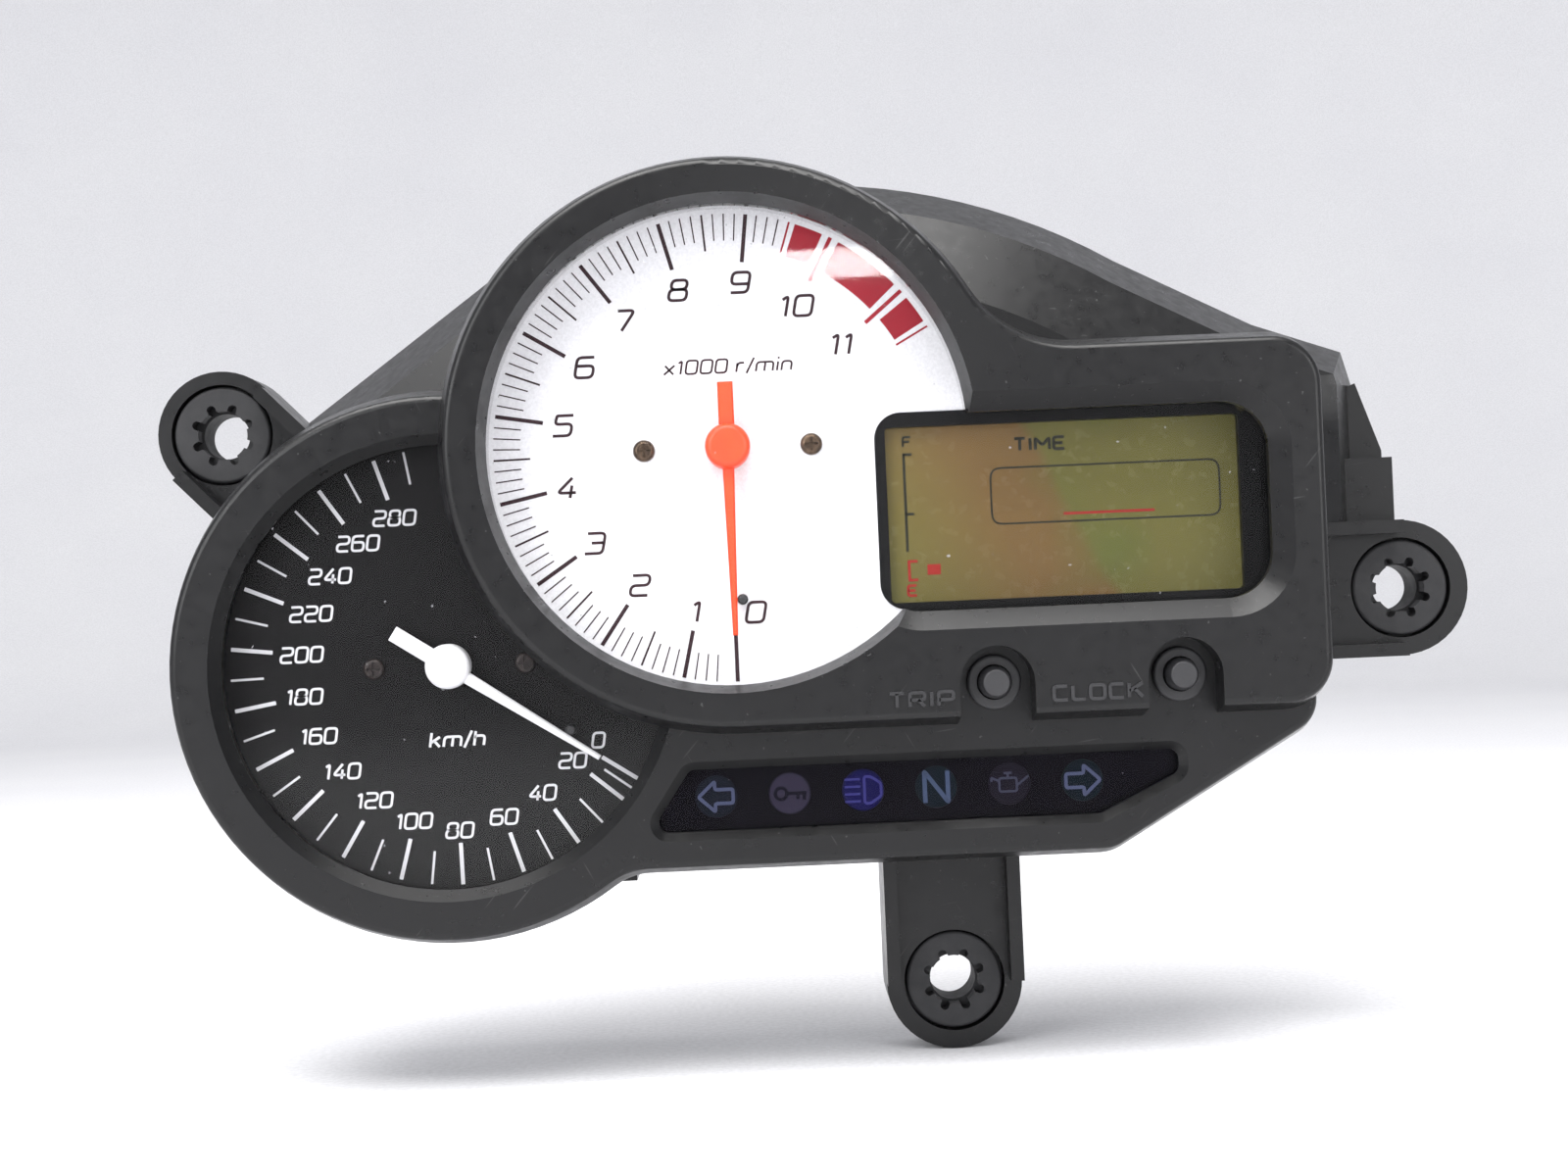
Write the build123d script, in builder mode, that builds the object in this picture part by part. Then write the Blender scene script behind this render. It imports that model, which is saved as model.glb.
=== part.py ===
"""Motorcycle instrument cluster: white tachometer, black speedometer, liquid-crystal display and
lamp strip in one two-part case, hung on three rubber grommets.

Axes: +X to the rider's right, +Z up, +Y away from the rider; the dials face -Y. The origin is the
centre of the lower grommet's bore. Plan places are measured from the tachometer's centre, and a
"height" is how far a face stands towards the rider, ahead of the plane through the grommets' webs.
"""

from build123d import *
import os
from math import atan, atan2, cos, degrees, radians, sin, sqrt, tan

os.makedirs("parts", exist_ok=True)

# ---- the case in plan, from the tachometer's centre ----
LOWER_EAR = (46.4, -122.4)
RING_R = 60.0             # tachometer ring
SPEEDO_REACH = RING_R + 17.479            # the speedometer's centre, from the tachometer's
SPEEDO_WAY = radians(54.401)              # clockwise from straight down
SPEEDO = (-SPEEDO_REACH * sin(SPEEDO_WAY), -SPEEDO_REACH * cos(SPEEDO_WAY))
BLOCK_TOP = 17.5          # display block
BLOCK_RIGHT = 126.3
TOP_CORNER_R = 10.0
LOW_CORNER_R = 9.0
NECK_R = 27.0             # hollow curve from the ring into the block's top edge
SPEEDO_R = 58.2           # speedometer ring
STRIP_BOTTOM = -RING_R - 30.0             # lamp strip
STRIP_RIGHT = 124.5
STRIP_FOOT = 79.5         # where the strip's slanted end leaves its bottom edge
STRIP_SLANT = 30.0
STRIP_CORNER_R = 7.0
THROAT_R = 15.0           # hollow curve from the speedometer ring into the strip
DRAFT = 2.0               # how far each side wall spreads over STEP

# ---- heights towards the rider ----
FRONT = 45.0              # face of the tachometer ring and the block
STEP = 8.0                # the speedometer ring and the strip lie this far behind it
LOWER = FRONT - STEP
PARTING = 15.0            # rear edge of the front cover
BACK = -22.0              # rear face of the rear case
BOARD = -2.4              # front face of the circuit board
BOARD_THICK = 1.6
WALL = 2.5
EDGE_R = 1.6              # rounding of the cover's front edges

# ---- windows and lenses ----
TACHO_OPEN_R = 51.5
TACHO_BEVEL = 1.5
LENS_DEPTH = 6.0          # front face of the main lens behind FRONT
LENS_THICK = 2.0
LIP = 1.8                 # how far a lens reaches under its opening's edge
SCREEN_LEFT = 30.0        # display opening, merging with the tachometer's
SCREEN_RIGHT = 115.5
SCREEN_TOP = 4.6
SCREEN_BOTTOM = -37.5
SCREEN_CORNER_R = 10.0
SCREEN_BEVEL = 4.0
SPEEDO_OPEN_R = 48.0
SPEEDO_BEVEL = 2.2
SPEEDO_LENS_DEPTH = 3.7   # behind LOWER
SPEEDO_LENS_THICK = 1.8
LAMP_LEFT = -11.2         # lamp window, top left corner
LAMP_TOP = -RING_R - 9.5
LAMP_BOTTOM = -RING_R - 22.8
LAMP_HEAD = 94.4
LAMP_FOOT = 77.1
LAMP_BEVEL = 1.8
LAMP_LENS_THICK = 1.5

# ---- dials ----
TACHO_DIAL = FRONT - 17.0
SPEEDO_DIAL = LOWER - 12.0
DIAL_THICK = 0.8
DIAL_GAP = 1.0            # between dial and lens skirt
TACHO_SCREW = 18.3        # dial screws either side of the needle
SPEEDO_SCREW = 16.6
SCREW_HEAD_R = 2.4
TACHO_STOP_R = 33.3       # stop pin's distance from the needle's axis
SPEEDO_STOP_R = 30.0
STOP_PIN_R = 1.1
SPEEDO_ZERO = -56.5       # degrees clockwise from straight down

# ---- display ----
GLASS_LEFT, GLASS_RIGHT = 34.4, 112.0     # what the frame's window leaves open
GLASS_TOP, GLASS_BOTTOM = 2.8, -35.6
RIM_LEFT, RIM_RIGHT = 32.3, 118.0         # raised black border, through the dial's cut-out
RIM_TOP, RIM_BOTTOM = 5.9, -36.9
RIM_CORNER_R = 5.8
RIM_RISE = 0.6
FRAME_SKIRT = 2.0         # how far the frame's box reaches past its rim under the dial
GLASS_THICK = 2.2

# ---- push buttons ----
BUTTONS = {"trip": 54.9, "clock": 94.9}
BUTTON_Z = -53.3
POCKET_R = 8.0
BOOT_R = 5.85
BOOT_RISE = 2.0
KNOB_R = 3.5
KNOB_TOP_R = 2.8
KNOB_RISE = 6.5
ROD_R = 2.0
TRAVEL = 1.5
RUN_GAP = 0.3

# ---- mounting ears and grommets: plan place, way of the arm, arm length, radius ----
EARS = {
    "lower": (LOWER_EAR, 90.0, 36.0, 15.5),
    "right": ((152.8, -37.2), 180.0, 30.0, 15.5),
    "left": ((SPEEDO[0] - 51.8, SPEEDO[1] + 54.2), -46.0, 26.0, 14.5),
}
EAR_HALF = 7.0            # half the ear's thickness
EAR_RIB_T = 3.0
EAR_RIB_RISE = 5.0
WEB_HALF = 2.0            # half the web that sits in the grommet's groove
GROMMET_R = 11.0
GROMMET_GROOVE_R = 8.0
GROMMET_BORE_R = 5.2
GROMMET_TOOTH_R = 5.6
GROMMET_SLOT_R = 7.3
GROMMET_SLOT_W = 2.0
SEAT_GAP = 0.5

# ---- screws: places in plan ----
CASE_SCREWS = [
    (108.0, 12.8),
    (66.0, 13.0),
    (-19.4, 53.4),
    (SPEEDO[0] - 46.7, SPEEDO[1] + 27.3),
    (SPEEDO[0] - 44.1, SPEEDO[1] - 31.1),
    (SPEEDO[0] + 0.5, SPEEDO[1] - 54.4),
    (107.0, STRIP_BOTTOM + 23.5),
]
CASE_SCREW_R = 1.75
CASE_HEAD_R = 3.5
BOSS_R = 3.0              # screw boss in the front cover
COLUMN_R = 4.5            # screw column in the rear case
BOARD_SCREWS = [
    (0.0, 36.0),
    (-36.0, -18.0),
    (104.0, -46.0),
    (SPEEDO[0] + 0.5, SPEEDO[1] - 32.9),
    (SPEEDO[0] - 35.0, SPEEDO[1] + 0.1),
    (27.0, -52.0),
]
BOARD_POST_R = 2.8
STANDOFFS = [
    (0.0, -36.0),
    (36.0, 24.0),
    (118.0, -10.0),
    (SPEEDO[0] + 0.5, SPEEDO[1] + 33.1),
    (60.0, STRIP_BOTTOM + 11.0),
]

# ---- gauge movement ----
FRAME_BASE = 2.0
POST_R = 1.9
CAN_TALL = 25.0           # lid above the board
CAN_R = 14.5
CAN_T = 0.6
BOBBIN_R = 8.8
BOBBIN_TALL = 12.0
COIL_T = 2.0
COIL_W = 7.0
COIL_GAP = 0.2
MAGNET_R = 6.0
MAGNET_TALL = 5.0
SHAFT_R = 0.75
SHAFT_GAP = 0.05
COLLAR_R = 1.4
NECK_TUBE_R = 2.2
HAIRSPRING_R = 6.5
SPRING_TURNS = 3
SPRING_T = 0.25
SPRING_W = 0.7
SPRING_LIFT = 0.3
POINTER_THICK = 1.4
TAIL = 14.0
HUB_R = 4.9
HUB_HOLE_R = 2.5
STOP_GAP = 0.05

# ---- lamps and connector ----
LAMP_X = [-5.7 + 15.9 * i for i in range(6)]
LAMP_Z = -RING_R - 15.7
LAMP_CELL = 11.5
LAMP_CELL_WALL = 1.2
CONNECTOR = (72.0, -17.0)
CONNECTOR_SIZE = (46.0, 18.0)
CONNECTOR_REACH = 8.0     # behind the rear case
CONNECTOR_DEPTH = 12.0    # of its socket

# ---- rear case ----
SHOULDER_FOOT = -10.0     # widest outline of the shoulder
SHOULDER_CREASE = 10.0    # crease between its two slopes
SHOULDER_TOP = 18.0
SHOULDER_LEAN = 24.0      # slopes, from the case's depth
SHOULDER_SHELF = 65.0
SHOULDER_END = -21.7      # where it stops above the right ear
PAD_RIGHT = 153.0         # box above the right ear
PAD_TOP = -7.0
PAD_FRONT = 4.0
BACK_RING_R = 26.0
BACK_RIB_T = 2.2
BACK_RIB_RISE = 1.4
CASE_SEAT = 4.0           # under the heads of the case screws
BREATHER = (-20.0, -52.0)
SEAL_W = 2.0
SKIRT_T = 1.2             # main lens skirt

# ---- chassis, the white moulding that carries the dials ----
CHASSIS_TOP = 13.5
CHASSIS_THICK = 2.0
CHASSIS_GAP = 0.7
TACHO_WELL_R = 30.0
SPEEDO_WELL_R = 27.0
BOARD_INSET = 3.5
DISPLAY_PINS = 14
DISPLAY_PIN_ROWS = (-37.0 + 0.6, 4.4)

LAMP_BOX_LEFT = LAMP_X[0] - LAMP_CELL / 2 - LAMP_CELL_WALL
LAMP_BOX_RIGHT = LAMP_X[5] + LAMP_CELL / 2 + LAMP_CELL_WALL
LAMP_BOX_TOP = LAMP_Z + LAMP_CELL / 2 + LAMP_CELL_WALL
LAMP_BOX_BOTTOM = LAMP_Z - LAMP_CELL / 2 - LAMP_CELL_WALL
LENS_FRONT = FRONT - LENS_DEPTH
LENS_BACK = LENS_FRONT - LENS_THICK
SPEEDO_LENS_FRONT = LOWER - SPEEDO_LENS_DEPTH
LAMP_LENS_BACK = LOWER - WALL - LAMP_LENS_THICK
DRAFT_ANGLE = degrees(atan(DRAFT / STEP))
CASE_FRONT = PARTING - 1.0                # front edge of the rear case, under the gasket
CASE_GROW = DRAFT - 1.0                   # the case stands this far inside the cover's skirt
CASE_TAPER = 3.0


def at(x, z):
    """A plan place, from the tachometer's centre, in the part's frame."""
    return (x - LOWER_EAR[0], z - LOWER_EAR[1])


def level(height):
    """The plane at a height, whose sketches look at the dials and extrude towards the rider."""
    return Plane.XZ.offset(height)


def polar(centre, radius, angle):
    """The plan place at an angle clockwise from straight down, as the rider sees a dial."""
    a = radians(angle)
    return (centre[0] - radius * sin(a), centre[1] - radius * cos(a))


def pin_place(i, z, half):
    """The square round one display pin: left, right, bottom and top."""
    x = GLASS_LEFT + 3.0 + i * (GLASS_RIGHT - GLASS_LEFT - 6.0) / (DISPLAY_PINS - 1)
    return (x - half, x + half, z - half, z + half)


def finish(piece, name):
    piece.part.label = name
    export_step(piece.part, f"parts/{name}.step")


def upper_outline(grow=0.0, mode=Mode.ADD):
    """Tachometer ring and display block as one face, grown outward."""
    ring = RING_R + grow
    top = BLOCK_TOP + grow
    right = BLOCK_RIGHT + grow
    high = TOP_CORNER_R + grow
    low = LOW_CORNER_R + grow
    reach = RING_R + NECK_R
    neck_z = BLOCK_TOP + NECK_R
    neck_x = sqrt(reach**2 - neck_z**2)
    lean = degrees(atan2(neck_z, neck_x))
    with BuildLine() as edge:
        Line(at(0, -ring), at(right - low, -ring))
        CenterArc(at(right - low, low - ring), low, -90, 90)
        Line(at(right, low - ring), at(right, top - high))
        CenterArc(at(right - high, top - high), high, 0, 90)
        Line(at(right - high, top), at(neck_x, top))
        CenterArc(at(neck_x, neck_z), NECK_R - grow, -90, lean - 90)
        CenterArc(at(0, 0), ring, lean, 270 - lean)
    make_face(edge.line, mode=mode)


def lower_outline(grow=0.0, mode=Mode.ADD):
    """Speedometer ring and lamp strip as one face; its upper edge lies inside the block."""
    sx, sz = SPEEDO
    ring = SPEEDO_R + grow
    reach = SPEEDO_R + THROAT_R
    throat_z = STRIP_BOTTOM - THROAT_R
    throat_x = sx + sqrt(reach**2 - (throat_z - sz) ** 2)
    lean = degrees(atan2(throat_z - sz, throat_x - sx))
    bottom = STRIP_BOTTOM - grow
    right = STRIP_RIGHT + grow
    slant = radians(STRIP_SLANT)
    foot_x = STRIP_FOOT + grow * tan(slant / 2)
    head_z = STRIP_BOTTOM + ((STRIP_RIGHT - STRIP_FOOT + grow) * sin(slant) - grow) / cos(slant)
    ends = [at(throat_x, bottom), at(foot_x, bottom), at(right, head_z), at(right, sz)]
    with BuildLine() as edge:
        FilletPolyline(*ends, radius=STRIP_CORNER_R + grow)
        Line(at(right, sz), at(sx + ring, sz))
        CenterArc(at(sx, sz), ring, 0, 360 + lean)
        CenterArc(at(throat_x, throat_z), THROAT_R - grow, 180 + lean, -90 - lean)
    make_face(edge.line, mode=mode)


def grown_face(edge, grow, mode):
    """Adds the face inside a closed line to the sketch being made, grown outward."""
    with BuildSketch(mode=Mode.PRIVATE) as face:
        make_face(edge.line)
        if grow:
            offset(amount=grow, kind=Kind.ARC, mode=Mode.REPLACE)
    add(face.sketch, mode=mode)


def bar(left, right, bottom, top, mode=Mode.ADD):
    """A rectangle between plan places."""
    with Locations(at((left + right) / 2, (bottom + top) / 2)):
        Rectangle(right - left, top - bottom, mode=mode)


def round_bar(left, right, bottom, top, corner, mode=Mode.ADD):
    """A rectangle with rounded corners between plan places."""
    with Locations(at((left + right) / 2, (bottom + top) / 2)):
        RectangleRounded(right - left, top - bottom, corner, mode=mode)


def discs(places, radius, mode=Mode.ADD):
    """A circle at each plan place."""
    with Locations(*[at(*place) for place in places]):
        Circle(radius, mode=mode)


def screen_outline(grow=0.0, mode=Mode.ADD):
    """Display opening, grown outward."""
    round_bar(
        SCREEN_LEFT - grow, SCREEN_RIGHT + grow, SCREEN_BOTTOM - grow, SCREEN_TOP + grow,
        SCREEN_CORNER_R + grow, mode,
    )


def keyhole_outline(grow=0.0, mode=Mode.ADD):
    """Tachometer and display opening in one."""
    discs([(0, 0)], TACHO_OPEN_R + grow, mode)
    screen_outline(grow, mode)


def lamp_outline(grow=0.0, mode=Mode.ADD):
    """Lamp window: a long bar with a slanted left end and a pointed right end."""
    ends = [
        at(LAMP_LEFT, LAMP_TOP),
        at(LAMP_LEFT - 9.0, LAMP_BOTTOM),
        at(LAMP_FOOT, LAMP_BOTTOM),
        at(LAMP_HEAD, LAMP_TOP - 5.0),
        at(LAMP_HEAD, LAMP_TOP),
    ]
    with BuildLine() as edge:
        FilletPolyline(*ends, radius=2.2, close=True)
    grown_face(edge, grow, mode)


def shoulder_outline(grow=0.0, mode=Mode.ADD):
    """The rear case's swept shoulder, which shows above and beside the cover."""
    left_end, crown, right_end = (-54.0, 44.5), (19.6, 63.7), (92.9, 42.9)
    with BuildLine() as edge:
        ThreePointArc(at(*left_end), at(*crown), at(*right_end))
        Polyline(
            at(*right_end), at(125.1, 26.4), at(146.0, 19.0), at(148.2, 11.0), at(148.2, -45.0),
            at(-40.0, -58.0), at(-90.0, -30.0), at(-99.0, 12.0), at(*left_end),
        )
    grown_face(edge, grow, mode)



# ======================================================================= front cover
with BuildPart() as upper_hollow:
    with BuildSketch(level(LENS_FRONT)):
        upper_outline()
    extrude(amount=PARTING - LENS_FRONT - 1.0)
    with BuildSketch(level(LOWER)):
        upper_outline()
    extrude(amount=STEP - WALL, taper=DRAFT_ANGLE)
    with BuildSketch(level(LENS_FRONT)):
        keyhole_outline(WALL)
    extrude(amount=STEP, mode=Mode.SUBTRACT)

with BuildPart() as lower_hollow:
    with BuildSketch(level(LOWER - STEP)):
        lower_outline()
    extrude(amount=PARTING - LOWER + STEP - 1.0)
    with BuildSketch(level(LOWER - STEP)):
        lower_outline()
    extrude(amount=STEP - WALL, taper=DRAFT_ANGLE)
    with BuildSketch(level(SPEEDO_LENS_FRONT)):
        discs([SPEEDO], SPEEDO_OPEN_R + WALL)
    extrude(amount=STEP, mode=Mode.SUBTRACT)

with BuildPart() as front_cover:
    with BuildSketch(level(LOWER - STEP)):
        lower_outline(DRAFT)
    extrude(amount=STEP, taper=DRAFT_ANGLE)
    with BuildSketch(level(PARTING)):
        lower_outline(DRAFT)
    extrude(amount=LOWER - STEP - PARTING)
    fillet(front_cover.faces().sort_by(Axis.Y)[0].edges(), EDGE_R)
    add(lower_hollow.part, mode=Mode.SUBTRACT)
    with BuildSketch(level(SPEEDO_LENS_FRONT)):
        discs([SPEEDO], SPEEDO_OPEN_R)
    extrude(amount=SPEEDO_LENS_DEPTH, taper=-degrees(atan(SPEEDO_BEVEL / SPEEDO_LENS_DEPTH)),
            mode=Mode.SUBTRACT)
    with BuildSketch(level(LOWER - WALL)):
        lamp_outline()
    extrude(amount=WALL, mode=Mode.SUBTRACT)
    with BuildSketch(level(LOWER - LAMP_BEVEL)):
        lamp_outline()
    extrude(amount=LAMP_BEVEL, taper=-45, mode=Mode.SUBTRACT)

with BuildPart() as upper_shell:
    with BuildSketch(level(LOWER)):
        upper_outline(DRAFT)
    extrude(amount=STEP, taper=DRAFT_ANGLE)
    with BuildSketch(level(PARTING)):
        upper_outline(DRAFT)
    extrude(amount=LOWER - PARTING)
    fillet(upper_shell.faces().sort_by(Axis.Y)[0].edges(), EDGE_R)

with BuildPart() as cover:
    add(front_cover.part)
    add(upper_shell.part)
    add(upper_hollow.part, mode=Mode.SUBTRACT)
    # pocket walls and floors around the buttons
    for x in BUTTONS.values():
        with BuildSketch(level(LOWER - WALL)):
            discs([(x, BUTTON_Z)], POCKET_R + WALL)
            bar(x - POCKET_R - WALL, x + POCKET_R + WALL, -RING_R, BUTTON_Z)
        extrude(amount=STEP)
    for x in BUTTONS.values():
        with BuildSketch(level(LOWER)):
            discs([(x, BUTTON_Z)], POCKET_R)
            bar(x - POCKET_R, x + POCKET_R, -2 * RING_R, BUTTON_Z)
        extrude(amount=STEP, mode=Mode.SUBTRACT)
        with BuildSketch(level(LOWER)):
            discs([(x, BUTTON_Z)], BOOT_R - 1.0)
        extrude(amount=-2 * WALL, mode=Mode.SUBTRACT)
    # openings
    with BuildSketch(level(LENS_FRONT)):
        keyhole_outline()
    extrude(amount=LENS_DEPTH, mode=Mode.SUBTRACT)
    with BuildSketch(level(LENS_FRONT)):
        discs([(0, 0)], TACHO_OPEN_R)
    extrude(amount=LENS_DEPTH, taper=-degrees(atan(TACHO_BEVEL / LENS_DEPTH)), mode=Mode.SUBTRACT)
    with BuildSketch(level(FRONT - SCREEN_BEVEL)):
        screen_outline()
    extrude(amount=SCREEN_BEVEL, taper=-45, mode=Mode.SUBTRACT)
    # screw bosses
    for x, z in CASE_SCREWS:
        with BuildSketch(level(PARTING)):
            discs([(x, z)], BOSS_R)
        extrude(until=Until.NEXT)
        with BuildSketch(level(PARTING)):
            discs([(x, z)], CASE_SCREW_R + 0.1)
        extrude(amount=14.0, mode=Mode.SUBTRACT)
finish(cover, "front_cover")
print("front cover volume", round(cover.part.volume), "solids", len(cover.part.solids()))


# ======================================================================= lenses and seal
with BuildPart() as main_lens:
    with BuildSketch(level(LENS_BACK)):
        keyhole_outline(LIP)
    extrude(amount=LENS_THICK)
    # a skirt that stops just above the dial
    with BuildSketch(level(TACHO_DIAL + DIAL_GAP)):
        keyhole_outline(LIP)
        keyhole_outline(LIP - SKIRT_T, Mode.SUBTRACT)
    extrude(amount=LENS_BACK - TACHO_DIAL - DIAL_GAP)
finish(main_lens, "main_lens")

with BuildPart() as speedo_lens:
    with BuildSketch(level(SPEEDO_LENS_FRONT - SPEEDO_LENS_THICK)):
        discs([SPEEDO], SPEEDO_OPEN_R + LIP)
        upper_outline(DRAFT + RUN_GAP, Mode.SUBTRACT)
    extrude(amount=SPEEDO_LENS_THICK)
finish(speedo_lens, "speedo_lens")

with BuildPart() as lamp_lens:
    with BuildSketch(level(LAMP_LENS_BACK)):
        lamp_outline(LIP)
    extrude(amount=LAMP_LENS_THICK)
finish(lamp_lens, "lamp_lens")

with BuildPart() as case_gasket:
    with BuildSketch(level(CASE_FRONT)):
        upper_outline(CASE_GROW)
        lower_outline(CASE_GROW)
        upper_outline(CASE_GROW - SEAL_W, Mode.SUBTRACT)
        lower_outline(CASE_GROW - SEAL_W, Mode.SUBTRACT)
        discs(CASE_SCREWS, COLUMN_R + 0.1, Mode.SUBTRACT)
    extrude(amount=PARTING - CASE_FRONT)
finish(case_gasket, "case_gasket")

# ======================================================================= rear case


def shoulder(inset, sink):
    """The shoulder as a solid: upright behind, then two slopes that lean in to the cover."""
    lean_in = (SHOULDER_CREASE - SHOULDER_FOOT) * tan(radians(SHOULDER_LEAN))
    with BuildSketch(level(SHOULDER_FOOT - sink)) as foot:
        shoulder_outline(-inset)
    extrude(foot.sketch, amount=BACK + inset - SHOULDER_FOOT + sink)
    extrude(foot.sketch, amount=SHOULDER_CREASE - SHOULDER_FOOT, taper=SHOULDER_LEAN)
    with BuildSketch(level(SHOULDER_CREASE - sink)) as crease:
        shoulder_outline(-inset - lean_in)
    extrude(crease.sketch, amount=SHOULDER_TOP - SHOULDER_CREASE - sink, taper=SHOULDER_SHELF)
    with BuildSketch(level(BACK)) as under:
        bar(BLOCK_RIGHT + CASE_GROW - inset, 200.0, -90.0, SHOULDER_END + inset)
    extrude(under.sketch, amount=FRONT, mode=Mode.SUBTRACT)


def body(grow, front, back):
    """The case's main body between two heights, tapering to the rear."""
    for outline in (upper_outline, lower_outline):
        with BuildSketch(level(front)) as rim:
            outline(grow)
        extrude(rim.sketch, amount=back - front, taper=CASE_TAPER)


with BuildPart() as case_hollow:
    body(CASE_GROW - WALL, CASE_FRONT, BACK + WALL)
    shoulder(WALL, 2.0)

with BuildPart() as rear_case:
    shoulder(0.0, 0.0)
    with BuildSketch(level(CASE_FRONT)):
        upper_outline(DRAFT + RUN_GAP)
        lower_outline(DRAFT + RUN_GAP)
    extrude(amount=FRONT, mode=Mode.SUBTRACT)
    body(CASE_GROW, CASE_FRONT, BACK)
    # trough under the hollow between speedometer and strip
    with BuildSketch(level(BACK + 4.0)):
        bar(-52.0, -25.0, STRIP_BOTTOM - 6.5, STRIP_BOTTOM + 8.0)
    extrude(amount=CASE_FRONT - BACK - 12.0)
    # ears: a slab with two ribs that stop level with the grommet
    for (x, z), way, arm, radius in EARS.values():
        with BuildSketch(level(-EAR_HALF)):
            discs([(x, z)], radius)
            with Locations(Location(at(x, z), way)):
                Rectangle(arm, 2 * radius, align=(Align.MIN, Align.CENTER))
        extrude(amount=2 * EAR_HALF)
        with BuildSketch(level(EAR_HALF)):
            with Locations(Location(at(x, z), way)):
                Rectangle(arm, 2 * radius, align=(Align.MIN, Align.CENTER))
                Rectangle(
                    arm, 2 * (radius - EAR_RIB_T), align=(Align.MIN, Align.CENTER),
                    mode=Mode.SUBTRACT,
                )
        extrude(amount=EAR_RIB_RISE)
    # box and gusset on the right ear's upper rib
    with BuildSketch(level(-EAR_HALF - 6.0)):
        bar(BLOCK_RIGHT, PAD_RIGHT, SHOULDER_END - 2.0, PAD_TOP)
    extrude(amount=PAD_FRONT + EAR_HALF + 6.0)
    with BuildSketch(level(PAD_FRONT - 10.0)):
        with BuildLine() as edge:
            Polyline(
                at(PAD_RIGHT, PAD_TOP - 1.0), at(PAD_RIGHT, PAD_TOP + 2.0),
                at(147.4, 11.0), at(140.0, 8.0), at(140.0, PAD_TOP - 1.0), close=True,
            )
        make_face(edge.line)
    extrude(amount=2.0)
    # stiffening rings and ribs behind the two gauges
    with BuildSketch(level(BACK)):
        for centre in ((0, 0), SPEEDO):
            discs([centre], BACK_RING_R)
            discs([centre], BACK_RING_R - BACK_RIB_T, Mode.SUBTRACT)
        rib_end = CONNECTOR[0] - CONNECTOR_SIZE[0] / 2 - 4.0
        bar(BACK_RING_R - 1.0, rib_end, -1.0, -1.0 + BACK_RIB_T)
        bar(-1.0, -1.0 + BACK_RIB_T, BACK_RING_R - 1.0, RING_R - 18.0)
    extrude(amount=-BACK_RIB_RISE)
    add(case_hollow.part, mode=Mode.SUBTRACT)
    # screw columns, standoffs and their bores
    for x, z in CASE_SCREWS:
        with BuildSketch(level(BACK)):
            discs([(x, z)], COLUMN_R)
        extrude(amount=PARTING - BACK)
    with BuildSketch(level(BACK + WALL)):
        discs(STANDOFFS, BOARD_POST_R)
    extrude(amount=BOARD - BOARD_THICK - BACK - WALL)
    with BuildSketch(level(BACK)):
        discs(CASE_SCREWS, CASE_HEAD_R + 0.4)
    extrude(amount=CASE_SEAT - BACK, mode=Mode.SUBTRACT)
    with BuildSketch(level(BACK)):
        discs(CASE_SCREWS, CASE_SCREW_R + 0.3)
    extrude(amount=PARTING - BACK, mode=Mode.SUBTRACT)
    # grommet seats: a pocket each side of a web
    seats = [place for place, way, arm, radius in EARS.values()]
    with BuildSketch(level(WEB_HALF)):
        discs(seats, GROMMET_R + SEAT_GAP)
    extrude(amount=EAR_HALF, mode=Mode.SUBTRACT)
    with BuildSketch(level(-WEB_HALF)):
        discs(seats, GROMMET_R + SEAT_GAP)
    extrude(amount=-EAR_HALF, mode=Mode.SUBTRACT)
    with BuildSketch(level(-WEB_HALF)):
        discs(seats, GROMMET_GROOVE_R + 0.1)
    extrude(amount=2 * WEB_HALF, mode=Mode.SUBTRACT)
    # connector window and breather hole
    with BuildSketch(level(BACK)):
        with Locations(at(*CONNECTOR)):
            Rectangle(CONNECTOR_SIZE[0] + 0.6, CONNECTOR_SIZE[1] + 0.6)
        discs([BREATHER], 2.0)
    extrude(amount=WALL, mode=Mode.SUBTRACT)
finish(rear_case, "rear_case")
print("rear case solids", len(rear_case.part.solids()))

with BuildPart() as breather_cap:
    with BuildSketch(level(BACK)):
        discs([BREATHER], 7.0)
    extrude(amount=-2.0)
    fillet(breather_cap.faces().sort_by(Axis.Y)[-1].edges(), 0.8)
finish(breather_cap, "breather_cap")


def grommet(name):
    """A rubber grommet: round flanges, a groove for the web, and teeth round the front mouth."""
    place = EARS[name][0]
    with BuildPart() as ring:
        with BuildSketch(level(WEB_HALF)):
            discs([place], GROMMET_R)
        extrude(amount=EAR_HALF - WEB_HALF - 0.5)
        fillet(ring.faces().sort_by(Axis.Y)[0].edges(), 0.8)
        with BuildSketch(level(-WEB_HALF)):
            discs([place], GROMMET_GROOVE_R)
        extrude(amount=2 * WEB_HALF)
        with BuildSketch(level(-WEB_HALF)):
            discs([place], GROMMET_R)
        extrude(amount=WEB_HALF - EAR_HALF - 0.5)
        with BuildSketch(level(-EAR_HALF - 0.5)):
            discs([place], GROMMET_BORE_R)
        extrude(amount=2 * EAR_HALF + 1.0, mode=Mode.SUBTRACT)
        with BuildSketch(level(WEB_HALF)):
            discs([place], GROMMET_TOOTH_R)
            with Locations(at(*place)):
                for turn in range(4):
                    SlotOverall(2 * GROMMET_SLOT_R, GROMMET_SLOT_W, rotation=45 * turn + 22.5)
        extrude(amount=EAR_HALF, mode=Mode.SUBTRACT)
    finish(ring, f"grommet_{name}")


for name in EARS:
    grommet(name)

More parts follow.
